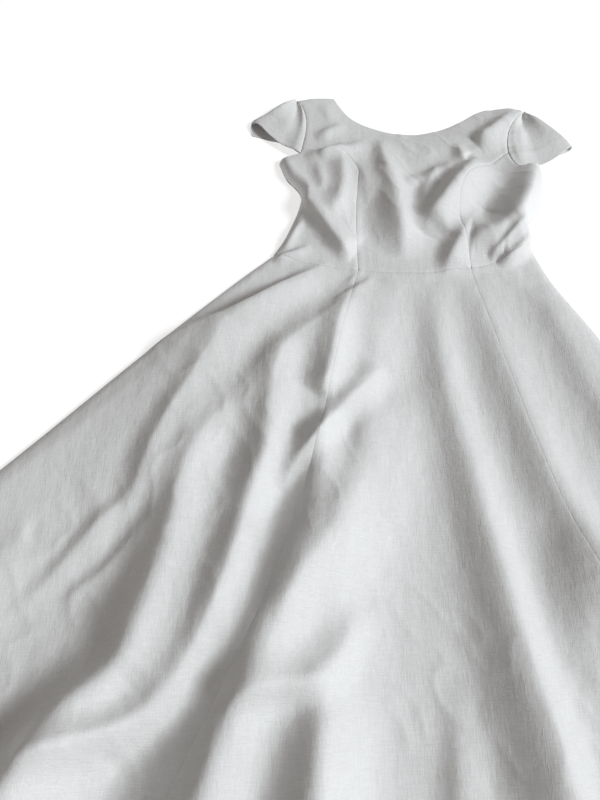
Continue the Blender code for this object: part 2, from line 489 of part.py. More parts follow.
def grid_faces(columns, rows):
    """Quads of a grid whose points are stored row by row, columns + 1 in each."""
    wide = columns + 1
    return [(r * wide + c, r * wide + c + 1, (r + 1) * wide + c + 1, (r + 1) * wide + c)
            for r in range(rows) for c in range(columns)]


def skirt_rows(panel):
    """Plan points of a front panel of the skirt, row by row from the waist to the hem."""
    left = smooth_curve(panel.left, SKIRT_ROWS + 1)
    right = smooth_curve(panel.right, SKIRT_ROWS + 1)
    across = np.linspace(0, 1, panel.columns + 1)[:, None]
    rows = []
    for row in range(SKIRT_ROWS + 1):
        down = row / SKIRT_ROWS
        chord = right[row] - left[row]
        along = chord / np.linalg.norm(chord)
        outward = np.array([along[1], -along[0]])
        bow = (1 - down) * panel.waist_bow + down * panel.hem_bow
        inset = (1 - 2 * across) * SEAM_GAP / 2
        rows.append(left[row] + across * chord + inset * along + 4 * across * (1 - across) * bow * outward)
    return np.array(rows)


def build_skirt_front():
    for panel in SKIRT_PANELS:
        plan = skirt_rows(panel).reshape(-1, 2)
        add_wall(panel.name, plan, grid_faces(panel.columns, SKIRT_ROWS), front_height)


def waist_stretch(panel):
    """The bodice's half of a seam with a skirt panel, through every second point of the panel's edge."""
    stretch = skirt_rows(panel)[0][::2] + [0, SEAM_GAP / 2]
    stretch[0] = np.array(panel.left[0]) + [0, SEAM_GAP / 2]
    stretch[-1] = np.array(panel.right[0]) + [0, SEAM_GAP / 2]
    return stretch


def joined(stretches):
    """One anticlockwise outline from stretches that meet end to end, each in either direction."""
    ring = stretches[0]
    ends = np.array([stretches[1][0], stretches[1][-1]])
    if np.linalg.norm(ends - ring[0], axis=1).min() < np.linalg.norm(ends - ring[-1], axis=1).min():
        ring = ring[::-1]
    for stretch in stretches[1:]:
        if np.linalg.norm(stretch[0] - ring[-1]) > np.linalg.norm(stretch[-1] - ring[-1]):
            stretch = stretch[::-1]
        ring = np.vstack([ring, stretch[1:]])
    ring = ring[:-1]
    following = np.roll(ring, -1, axis=0)
    area = (ring[:, 0] * following[:, 1] - ring[:, 1] * following[:, 0]).sum() / 2
    return ring if area > 0 else ring[::-1]


def inset_outline(outline, distance):
    """An anticlockwise outline moved inwards."""
    ahead = np.roll(outline, -1, axis=0) - outline
    ahead /= np.linalg.norm(ahead, axis=1)[:, None]
    behind = np.roll(ahead, 1, axis=0)
    inward = np.stack([-(ahead + behind)[:, 1], (ahead + behind)[:, 0]], axis=1)
    return outline + distance * inward / np.linalg.norm(inward, axis=1)[:, None]


def filled_outline(outline, spacing):
    """Plan points and triangles that fill a closed outline evenly."""
    low = outline.min(axis=0)
    high = outline.max(axis=0)
    row_step = spacing * math.sqrt(3) / 2
    inner = []
    for row in range(int((high[1] - low[1]) / row_step) + 1):
        shift = spacing / 2 if row % 2 else 0
        for x in np.arange(low[0] + shift, high[0], spacing):
            inner.append((x, low[1] + row * row_step))
    inner = np.array(inner)
    closed = np.vstack([outline, outline[:1]])
    clear = nearest_on_line(inner, closed)[0] > CLEAR_OF_EDGE * spacing
    points = [Vector(p) for p in outline] + [Vector(p) for p in inner[clear]]
    ring = list(range(len(outline)))
    filled = delaunay_2d_cdt(points, [], [ring], 1, 1e-6)
    return np.array([tuple(p) for p in filled[0]]), [tuple(face) for face in filled[2]]


def add_filled_wall(name, stretches, spacing, height):
    outline = inset_outline(joined(stretches), SEAM_GAP / 2)
    plan, faces = filled_outline(outline, spacing)
    add_wall(name, plan, faces, height)


def edge(points):
    return spaced_curve(points, BODICE_SPACING)


def build_bodice_front():
    left_waist, centre_waist, right_waist = [waist_stretch(panel) for panel in SKIRT_PANELS]
    pieces = {
        "bodice_front_left": [
            left_waist, edge(LEFT_PRINCESS), edge(LEFT_ARMHOLE_LOWER), edge(LEFT_UNDERARM),
            edge(BODICE_LEFT_SIDE)],
        "bodice_front_centre": [
            centre_waist, edge(RIGHT_PRINCESS), edge(RIGHT_ARMHOLE_UPPER), edge(RIGHT_SHOULDER),
            edge(NECKLINE), edge(LEFT_SHOULDER), edge(LEFT_ARMHOLE_UPPER), edge(LEFT_PRINCESS)],
        "bodice_front_right": [
            right_waist, edge(BODICE_RIGHT_SIDE), edge(RIGHT_UNDERARM), edge(RIGHT_ARMHOLE_LOWER),
            edge(RIGHT_PRINCESS)],
    }
    for name, stretches in pieces.items():
        add_filled_wall(name, stretches, BODICE_SPACING, front_height)


def build_backs():
    waist = [waist_stretch(panel)[::2] for panel in SKIRT_PANELS]
    across = joined_open(waist)
    bodice = [across, edge(BODICE_RIGHT_SIDE), edge(RIGHT_UNDERARM), edge(RIGHT_ARMHOLE_LOWER),
              edge(RIGHT_ARMHOLE_UPPER), edge(RIGHT_SHOULDER), edge(NECKLINE), edge(LEFT_SHOULDER),
              edge(LEFT_ARMHOLE_UPPER), edge(LEFT_ARMHOLE_LOWER), edge(LEFT_UNDERARM), edge(BODICE_LEFT_SIDE)]
    add_filled_wall("bodice_back", bodice, FLAT_SPACING, flat_height)
    hem = joined_open([skirt_hem(panel) for panel in SKIRT_PANELS])
    skirt = [across - [0, SEAM_GAP], spaced_curve(SKIRT_RIGHT_SIDE, BACK_SPACING), hem,
             spaced_curve(SKIRT_LEFT_SIDE, BACK_SPACING)]
    add_filled_wall("skirt_back", skirt, BACK_SPACING, back_height)


def skirt_hem(panel):
    hem = skirt_rows(panel)[-1][::2].copy()
    hem[0] = panel.left[-1]
    hem[-1] = panel.right[-1]
    return hem


def joined_open(stretches):
    """One line from stretches that follow each other."""
    line = stretches[0]
    for stretch in stretches[1:]:
        line = np.vstack([line, stretch[1:]])
    return line


def armhole_points(sleeve):
    """The sleeve's half of the armhole seam, from the shoulder down."""
    line = joined_open([edge(stretch) for stretch in sleeve.armhole])
    ahead = np.gradient(line, axis=0)
    outward = np.stack([ahead[:, 1], -ahead[:, 0]], axis=1)
    outward *= np.sign(outward[:, :1] * sleeve.fold[-1][0])
    return line + SEAM_GAP / 2 * outward / np.linalg.norm(outward, axis=1)[:, None]


def along_rows(rows, share):
    """A smooth value from rows of share and value."""
    line = smooth_curve(rows)
    return np.interp(share, line[:, 0], line[:, 1])


def sleeve_section(sleeve, start, end, down):
    """One closed section of a sleeve, from the armhole round the folded edge and back under."""
    radius = along_rows(sleeve.fold_radius, down)
    along = (end - start) / np.linalg.norm(end - start)
    flat = np.linalg.norm(end - start) - radius
    share = np.linspace(0, 1, SLEEVE_COLUMNS + 1)
    seam = front_height(start[None])[0]
    puff = along_rows(sleeve.rise, share) * math.sin(math.pi * min(down + PUFF_START, PUFF_END))
    front = (1 - share) * seam + share * (2 * radius - CLOTH) + puff
    plan = start + share[:, None] * flat * along
    front_bow = down**2 * along_rows(sleeve.front_hem, share)
    back_bow = down**2 * along_rows(sleeve.back_hem, share)
    front_plan = plan + np.outer(front_bow, (0, 1))
    back_plan = plan + np.outer(back_bow, (0, 1))
    outer = []
    inner = []
    for column in range(SLEEVE_COLUMNS):
        outer.append((*front_plan[column], front[column] + CLOTH))
        inner.append((*front_plan[column], front[column]))
    for angle in FOLD_ANGLES:
        out = math.cos(math.radians(angle))
        up = math.sin(math.radians(angle))
        for ring, size in ((outer, radius), (inner, radius - CLOTH)):
            place = plan[-1] + size * out * along
            place[1] += back_bow[-1] + (front_bow[-1] - back_bow[-1]) * (1 + up) / 2
            ring.append((*place, radius + size * up))
    for column in range(SLEEVE_COLUMNS - 1, -1, -1):
        outer.append((*back_plan[column], 0.0))
        inner.append((*back_plan[column], CLOTH))
    return outer + inner[::-1]


def build_sleeves():
    for sleeve in SLEEVES:
        armhole = armhole_points(sleeve)
        fold = smooth_curve(sleeve.fold, len(armhole))
        shell = bmesh.new()
        rings = []
        for row, (start, end) in enumerate(zip(armhole, fold)):
            section = sleeve_section(sleeve, start, end, row / (len(fold) - 1))
            rings.append([shell.verts.new(point) for point in section])
        for ring, following in zip(rings, rings[1:]):
            for k in range(len(ring)):
                m = (k + 1) % len(ring)
                shell.faces.new((ring[k], ring[m], following[m], following[k]))
        for ring in (rings[0], rings[-1]):
            half = len(ring) // 2
            for k in range(half - 1):
                shell.faces.new((ring[k], ring[k + 1], ring[-k - 2], ring[-k - 1]))
        add_object(sleeve.name, shell)


clear_scene()
dress = bpy.data.collections.new("a_line_dress")
bpy.context.scene.collection.children.link(dress)
build_skirt_front()
build_bodice_front()
build_backs()
build_sleeves()
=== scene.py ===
# White linen a-line dress with cap sleeves, laid out face up on a pale floor.
# Metres, +Z up, the neck towards +Y. Left and right are as seen from above.
import math

import bpy
import numpy as np
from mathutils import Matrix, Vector, noise
from mathutils.geometry import delaunay_2d_cdt


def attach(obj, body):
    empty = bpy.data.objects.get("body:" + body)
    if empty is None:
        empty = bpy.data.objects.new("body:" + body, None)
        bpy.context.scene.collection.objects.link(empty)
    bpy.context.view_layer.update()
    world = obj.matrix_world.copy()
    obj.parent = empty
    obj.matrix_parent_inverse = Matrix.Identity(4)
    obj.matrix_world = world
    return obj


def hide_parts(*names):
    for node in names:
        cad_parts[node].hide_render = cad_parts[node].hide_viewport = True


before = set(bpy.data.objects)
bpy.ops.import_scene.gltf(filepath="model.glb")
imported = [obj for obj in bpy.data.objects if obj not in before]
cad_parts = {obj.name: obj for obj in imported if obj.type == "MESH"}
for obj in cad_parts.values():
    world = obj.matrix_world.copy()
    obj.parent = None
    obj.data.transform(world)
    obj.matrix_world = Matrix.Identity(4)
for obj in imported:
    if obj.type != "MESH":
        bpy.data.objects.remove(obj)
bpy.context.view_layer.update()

# How the cloth is made and how its layers lie
cloth = {
    "thickness": 0.0007,
    "edgeTop": 0.0016,         # height of the front at its folded sides
    "frontTop": 0.0033,        # height of the front where nothing lifts it
    "frontLift": 0.0060,       # air under the front
    "neckFlat": 0.75,          # how much flatter the front lies at the neck
    "neckReach": 0.060,
    "sideRoll": 0.016,         # how far in from a side the front rounds over
    "shoulderRoll": 0.010,
    "seamWidth": 0.0020,
    "seamBulgeAt": 0.0055,     # where the turned allowances stand proud beside a seam
    "seamBulgeWidth": 0.45,    # how wide that is, as a share of the distance
    "seamReach": 3,            # how far a seam is felt, in the same distances
    "edgeDepth": 0.0008,       # how a finished edge rounds down
    "edgeWidth": 0.0020,
    "hemFold": 0.020,          # depth of the skirt's turned hem
    "hemStep": 0.0004,
    "hemSoftness": 0.0008,
}
rimSteps = [0.0, 0.0003, 0.0011, 0.0025]  # mesh lines beside every edge

# Where the camera stands over the floor, and how high the cloth is between the folds
view = {"foot": (-0.165, -0.615), "height": 0.748, "skirtRest": 0.009, "bodiceRest": 0.012}

# Side edges and panel seams of the skirt, from the waist to the hem: (x, y)
skirtLeftSide = [(-0.207, 0.003), (-0.268, -0.053), (-0.366, -0.151), (-0.549, -0.343), (-0.750, -0.546)]
skirtLeftSeam = [(-0.078, -0.027), (-0.110, -0.160), (-0.148, -0.330), (-0.205, -0.510), (-0.325, -0.750)]
skirtRightSeam = [(0.091, -0.026), (0.119, -0.212), (0.158, -0.406), (0.265, -0.755)]
skirtRightSide = [(0.191, 0.014), (0.213, -0.050), (0.250, -0.124), (0.290, -0.200), (0.400, -0.375),
                  (0.600, -0.650)]

# Edges and seams of the bodice: (x, y)
bodiceLeftSide = [(-0.207, 0.003), (-0.184, 0.049), (-0.163, 0.122), (-0.187, 0.165), (-0.200, 0.201)]
leftUnderarm = [(-0.200, 0.201), (-0.187, 0.206), (-0.165, 0.214)]
leftArmholeUpper = [(-0.170, 0.352), (-0.159, 0.326), (-0.154, 0.295), (-0.156, 0.262), (-0.162, 0.226)]
leftArmholeLower = [(-0.162, 0.226), (-0.165, 0.214)]
leftShoulder = [(-0.170, 0.352), (-0.139, 0.360), (-0.105, 0.363)]
neckline = [(-0.105, 0.363), (-0.093, 0.336), (-0.077, 0.310), (-0.054, 0.291), (-0.005, 0.270),
            (0.049, 0.269), (0.102, 0.291), (0.148, 0.323), (0.172, 0.332)]
rightShoulder = [(0.172, 0.332), (0.203, 0.335), (0.229, 0.327)]
rightArmholeUpper = [(0.229, 0.327), (0.202, 0.286), (0.186, 0.250), (0.182, 0.214)]
rightArmholeLower = [(0.182, 0.214), (0.184, 0.192), (0.190, 0.170)]
rightUnderarm = [(0.190, 0.170), (0.205, 0.170), (0.220, 0.177), (0.234, 0.184)]
bodiceRightSide = [(0.234, 0.184), (0.233, 0.161), (0.224, 0.118), (0.208, 0.084), (0.187, 0.053),
                   (0.191, 0.014)]
leftPrincess = [(-0.078, -0.027), (-0.078, 0.064), (-0.073, 0.135), (-0.071, 0.170), (-0.090, 0.204),
                (-0.125, 0.218), (-0.162, 0.226)]
rightPrincess = [(0.091, -0.026), (0.086, 0.016), (0.078, 0.068), (0.090, 0.118), (0.132, 0.166),
                 (0.182, 0.214)]

# Rounded fullness of the bust
mounds = [
    {"x": -0.110, "y": 0.130, "reachX": 0.070, "reachY": 0.080, "height": 0.007},
    {"x": 0.125, "y": 0.120, "reachX": 0.080, "reachY": 0.080, "height": 0.010},
    {"x": 0.000, "y": 0.140, "reachX": 0.120, "reachY": 0.100, "height": 0.006},
]

# Folds: each is a crest from the waist outwards, in rows of x, y, height, and how wide it falls to the
# left, away from the light, and to the right. A negative height is a trough.
skirtFolds = {
    "left side, along the first crease": [
        (-0.119, -0.007, 0.000, 0.006, 0.020), (-0.164, -0.030, 0.012, 0.008, 0.032),
        (-0.199, -0.053, 0.021, 0.009, 0.040), (-0.239, -0.081, 0.025, 0.010, 0.045),
        (-0.279, -0.104, 0.023, 0.010, 0.045), (-0.319, -0.123, 0.016, 0.009, 0.040),
        (-0.359, -0.147, 0.007, 0.008, 0.030), (-0.389, -0.167, 0.000, 0.008, 0.020)],
    "left side, upper": [
        (-0.266, -0.128, 0.000, 0.012, 0.028), (-0.282, -0.158, 0.008, 0.013, 0.030),
        (-0.302, -0.193, 0.012, 0.013, 0.034), (-0.321, -0.230, 0.015, 0.013, 0.036),
        (-0.340, -0.268, 0.017, 0.013, 0.036), (-0.354, -0.302, 0.018, 0.014, 0.032),
        (-0.363, -0.335, 0.017, 0.014, 0.026), (-0.369, -0.365, 0.011, 0.013, 0.020),
        (-0.374, -0.398, 0.000, 0.010, 0.016)],
    "left side, thin crease": [
        (-0.365, -0.360, 0.000, 0.006, 0.012), (-0.389, -0.388, 0.005, 0.008, 0.015),
        (-0.414, -0.412, 0.007, 0.009, 0.015), (-0.434, -0.440, 0.007, 0.009, 0.015),
        (-0.455, -0.470, 0.006, 0.009, 0.014), (-0.479, -0.500, 0.003, 0.008, 0.013),
        (-0.503, -0.528, 0.000, 0.007, 0.012)],
    "left side, second crease": [
        (-0.340, -0.403, 0.000, 0.006, 0.010), (-0.367, -0.432, 0.004, 0.007, 0.012),
        (-0.391, -0.463, 0.005, 0.007, 0.012), (-0.419, -0.488, 0.004, 0.007, 0.012),
        (-0.447, -0.513, 0.000, 0.006, 0.012)],
    "left side, lower": [
        (-0.480, -0.400, 0.000, 0.016, 0.030), (-0.545, -0.480, 0.010, 0.016, 0.034),
        (-0.620, -0.575, 0.018, 0.018, 0.036), (-0.690, -0.660, 0.020, 0.018, 0.036)],
    "first long fold": [
        (-0.180, -0.150, 0.000, 0.012, 0.018), (-0.203, -0.180, 0.011, 0.018, 0.024),
        (-0.224, -0.206, 0.014, 0.021, 0.028), (-0.243, -0.232, 0.016, 0.022, 0.028),
        (-0.262, -0.257, 0.017, 0.022, 0.028), (-0.281, -0.281, 0.019, 0.021, 0.028),
        (-0.298, -0.305, 0.023, 0.019, 0.030), (-0.309, -0.332, 0.027, 0.019, 0.030),
        (-0.317, -0.370, 0.032, 0.022, 0.030), (-0.325, -0.430, 0.038, 0.026, 0.030),
        (-0.342, -0.492, 0.041, 0.027, 0.028), (-0.353, -0.527, 0.042, 0.027, 0.026),
        (-0.362, -0.560, 0.043, 0.025, 0.024), (-0.381, -0.584, 0.041, 0.023, 0.024),
        (-0.407, -0.603, 0.041, 0.021, 0.026), (-0.433, -0.626, 0.042, 0.022, 0.030),
        (-0.455, -0.663, 0.043, 0.024, 0.034), (-0.531, -0.799, 0.043, 0.026, 0.036)],
    "second long fold": [
        (-0.052, -0.036, 0.000, 0.010, 0.014), (-0.084, -0.063, 0.014, 0.016, 0.020),
        (-0.124, -0.103, 0.023, 0.020, 0.045), (-0.163, -0.138, 0.023, 0.020, 0.045),
        (-0.186, -0.168, 0.022, 0.019, 0.045), (-0.198, -0.208, 0.027, 0.019, 0.045),
        (-0.203, -0.260, 0.038, 0.025, 0.028), (-0.212, -0.315, 0.044, 0.025, 0.018),
        (-0.232, -0.380, 0.042, 0.025, 0.018), (-0.249, -0.445, 0.043, 0.027, 0.018),
        (-0.269, -0.505, 0.044, 0.030, 0.018), (-0.289, -0.550, 0.042, 0.029, 0.018),
        (-0.311, -0.590, 0.038, 0.023, 0.018), (-0.336, -0.619, 0.036, 0.017, 0.018),
        (-0.374, -0.638, 0.039, 0.015, 0.016), (-0.418, -0.648, 0.030, 0.013, 0.014),
        (-0.456, -0.657, 0.005, 0.010, 0.012)],
    "short fold by the seam": [
        (-0.093, -0.075, 0.000, 0.009, 0.014), (-0.106, -0.110, 0.014, 0.013, 0.016),
        (-0.116, -0.160, 0.026, 0.018, 0.016), (-0.125, -0.197, 0.028, 0.019, 0.013),
        (-0.134, -0.224, 0.019, 0.018, 0.009), (-0.141, -0.246, 0.000, 0.014, 0.009)],
    "thin fold across the seam": [
        (-0.053, -0.192, 0.000, 0.016, 0.012), (-0.072, -0.208, 0.022, 0.024, 0.014),
        (-0.098, -0.234, 0.030, 0.026, 0.013), (-0.118, -0.259, 0.029, 0.024, 0.011),
        (-0.133, -0.282, 0.026, 0.021, 0.010), (-0.152, -0.304, 0.023, 0.018, 0.009),
        (-0.167, -0.326, 0.019, 0.015, 0.009), (-0.180, -0.349, 0.012, 0.012, 0.009),
        (-0.193, -0.372, 0.000, 0.010, 0.010)],
    "long fold along the seam": [
        (-0.129, -0.266, 0.000, 0.014, 0.014), (-0.134, -0.294, 0.030, 0.017, 0.016),
        (-0.140, -0.328, 0.036, 0.021, 0.022), (-0.146, -0.370, 0.034, 0.026, 0.030),
        (-0.153, -0.405, 0.041, 0.029, 0.034), (-0.165, -0.440, 0.055, 0.039, 0.036),
        (-0.177, -0.470, 0.060, 0.039, 0.036), (-0.201, -0.530, 0.064, 0.039, 0.036),
        (-0.228, -0.590, 0.059, 0.033, 0.038), (-0.251, -0.650, 0.058, 0.032, 0.040),
        (-0.300, -0.800, 0.058, 0.032, 0.042)],
    "crumpled fold beside the seam": [
        (-0.068, -0.225, 0.000, 0.012, 0.024), (-0.073, -0.255, 0.009, 0.017, 0.028),
        (-0.080, -0.290, 0.014, 0.021, 0.032), (-0.087, -0.325, 0.017, 0.023, 0.034),
        (-0.098, -0.360, 0.020, 0.024, 0.036), (-0.110, -0.395, 0.022, 0.023, 0.036),
        (-0.127, -0.430, 0.021, 0.021, 0.032), (-0.148, -0.463, 0.017, 0.018, 0.026),
        (-0.172, -0.498, 0.010, 0.014, 0.020), (-0.195, -0.530, 0.000, 0.012, 0.016)],
    "fold at the hem left of the centre": [
        (-0.131, -0.575, 0.000, 0.014, 0.018), (-0.137, -0.608, 0.022, 0.022, 0.022),
        (-0.142, -0.645, 0.042, 0.028, 0.024), (-0.146, -0.690, 0.050, 0.030, 0.026),
        (-0.160, -0.810, 0.052, 0.032, 0.028)],
    "crease across the seam trough": [
        (-0.100, -0.505, 0.000, 0.014, 0.016), (-0.110, -0.540, 0.014, 0.016, 0.015),
        (-0.130, -0.570, 0.023, 0.018, 0.014), (-0.160, -0.586, 0.027, 0.018, 0.013),
        (-0.192, -0.593, 0.024, 0.017, 0.012), (-0.220, -0.600, 0.014, 0.015, 0.010),
        (-0.244, -0.610, 0.000, 0.012, 0.009)],
}
# Folds with a rounder crest, in the same rows
softFolds = {
    "fold right of the centre": [
        (0.032, -0.045, 0.000, 0.012, 0.014), (0.034, -0.088, 0.006, 0.015, 0.016),
        (0.035, -0.149, 0.011, 0.016, 0.018), (0.039, -0.220, 0.013, 0.017, 0.018),
        (0.047, -0.274, 0.014, 0.018, 0.018), (0.056, -0.327, 0.017, 0.020, 0.018),
        (0.066, -0.402, 0.023, 0.022, 0.018), (0.077, -0.463, 0.028, 0.025, 0.018),
        (0.087, -0.534, 0.032, 0.027, 0.019), (0.100, -0.606, 0.037, 0.030, 0.020),
        (0.113, -0.677, 0.041, 0.032, 0.022), (0.130, -0.820, 0.041, 0.034, 0.024)],
    "fold by the right seam": [
        (0.098, -0.035, 0.000, 0.014, 0.018), (0.106, -0.090, 0.007, 0.018, 0.020),
        (0.117, -0.150, 0.011, 0.020, 0.022), (0.127, -0.200, 0.013, 0.021, 0.023),
        (0.137, -0.250, 0.015, 0.021, 0.023), (0.149, -0.300, 0.017, 0.021, 0.022),
        (0.160, -0.350, 0.019, 0.021, 0.022), (0.182, -0.404, 0.021, 0.024, 0.022),
        (0.199, -0.438, 0.026, 0.029, 0.022), (0.216, -0.472, 0.029, 0.034, 0.024),
        (0.231, -0.517, 0.025, 0.033, 0.028), (0.238, -0.570, 0.020, 0.025, 0.030),
        (0.264, -0.680, 0.021, 0.019, 0.030), (0.290, -0.800, 0.024, 0.019, 0.030)],
    "branch of the right fold": [
        (0.158, -0.415, 0.000, 0.016, 0.016), (0.160, -0.450, 0.006, 0.022, 0.022),
        (0.163, -0.490, 0.011, 0.026, 0.028), (0.166, -0.535, 0.013, 0.026, 0.030),
        (0.170, -0.575, 0.009, 0.020, 0.026), (0.176, -0.620, 0.000, 0.014, 0.018)],
    "fold at the right side": [
        (0.188, -0.050, 0.000, 0.014, 0.020), (0.206, -0.100, 0.007, 0.015, 0.022),
        (0.222, -0.160, 0.007, 0.016, 0.024), (0.240, -0.235, 0.008, 0.016, 0.026),
        (0.270, -0.330, 0.013, 0.015, 0.028), (0.330, -0.470, 0.017, 0.015, 0.030),
        (0.400, -0.620, 0.021, 0.016, 0.032), (0.460, -0.760, 0.024, 0.016, 0.034)],
    "outer fold at the right side": [
        (0.400, -0.430, 0.000, 0.014, 0.020), (0.455, -0.520, 0.010, 0.014, 0.022),
        (0.520, -0.620, 0.016, 0.014, 0.024), (0.560, -0.700, 0.018, 0.014, 0.026)],
    "fold at the middle of the hem": [
        (0.004, -0.590, 0.000, 0.008, 0.016), (0.004, -0.650, 0.007, 0.010, 0.018),
        (0.002, -0.700, 0.012, 0.012, 0.020), (0.000, -0.820, 0.015, 0.012, 0.022)],
    "broad rise to the first long fold": [
        (-0.300, -0.330, 0.000, 0.040, 0.030), (-0.325, -0.400, 0.005, 0.050, 0.034),
        (-0.350, -0.480, 0.009, 0.055, 0.036), (-0.372, -0.545, 0.010, 0.055, 0.038),
        (-0.430, -0.610, 0.009, 0.050, 0.040), (-0.500, -0.700, 0.006, 0.050, 0.040),
        (-0.560, -0.800, 0.005, 0.050, 0.040)],
    "left side, broad rise": [
        (-0.144, -0.040, 0.000, 0.015, 0.050), (-0.194, -0.068, 0.010, 0.016, 0.070),
        (-0.250, -0.110, 0.014, 0.019, 0.085), (-0.290, -0.149, 0.014, 0.030, 0.085),
        (-0.322, -0.200, 0.014, 0.042, 0.080), (-0.345, -0.250, 0.013, 0.045, 0.070),
        (-0.366, -0.305, 0.010, 0.045, 0.060), (-0.392, -0.360, 0.006, 0.040, 0.050),
        (-0.430, -0.415, 0.000, 0.030, 0.050)],
    "rise along the left side": [
        (-0.280, -0.110, 0.000, 0.016, 0.050), (-0.335, -0.165, 0.004, 0.018, 0.060),
        (-0.398, -0.225, 0.007, 0.018, 0.065), (-0.470, -0.295, 0.008, 0.018, 0.070),
        (-0.550, -0.372, 0.008, 0.018, 0.075), (-0.640, -0.460, 0.008, 0.018, 0.075),
        (-0.740, -0.560, 0.008, 0.018, 0.075)],
    "rise along the right side": [
        (0.185, -0.030, 0.000, 0.040, 0.014), (0.212, -0.085, 0.004, 0.060, 0.016),
        (0.248, -0.155, 0.008, 0.070, 0.018), (0.300, -0.250, 0.011, 0.080, 0.020),
        (0.385, -0.380, 0.012, 0.090, 0.020), (0.500, -0.545, 0.012, 0.095, 0.020),
        (0.600, -0.680, 0.012, 0.100, 0.020)],
    "soft fold at the centre left": [
        (-0.020, -0.030, 0.000, 0.014, 0.020), (-0.040, -0.070, 0.007, 0.018, 0.022),
        (-0.049, -0.110, 0.012, 0.021, 0.024), (-0.055, -0.155, 0.013, 0.022, 0.024),
        (-0.061, -0.190, 0.011, 0.020, 0.022), (-0.070, -0.225, 0.000, 0.014, 0.018)],
    "broad fold left of the centre": [
        (-0.045, -0.200, 0.000, 0.022, 0.030), (-0.060, -0.250, 0.006, 0.022, 0.034),
        (-0.075, -0.310, 0.009, 0.022, 0.036), (-0.092, -0.380, 0.012, 0.022, 0.036),
        (-0.106, -0.450, 0.015, 0.024, 0.034), (-0.118, -0.520, 0.015, 0.024, 0.034),
        (-0.132, -0.600, 0.015, 0.026, 0.036), (-0.160, -0.720, 0.015, 0.026, 0.040),
        (-0.170, -0.820, 0.015, 0.026, 0.040)],
}
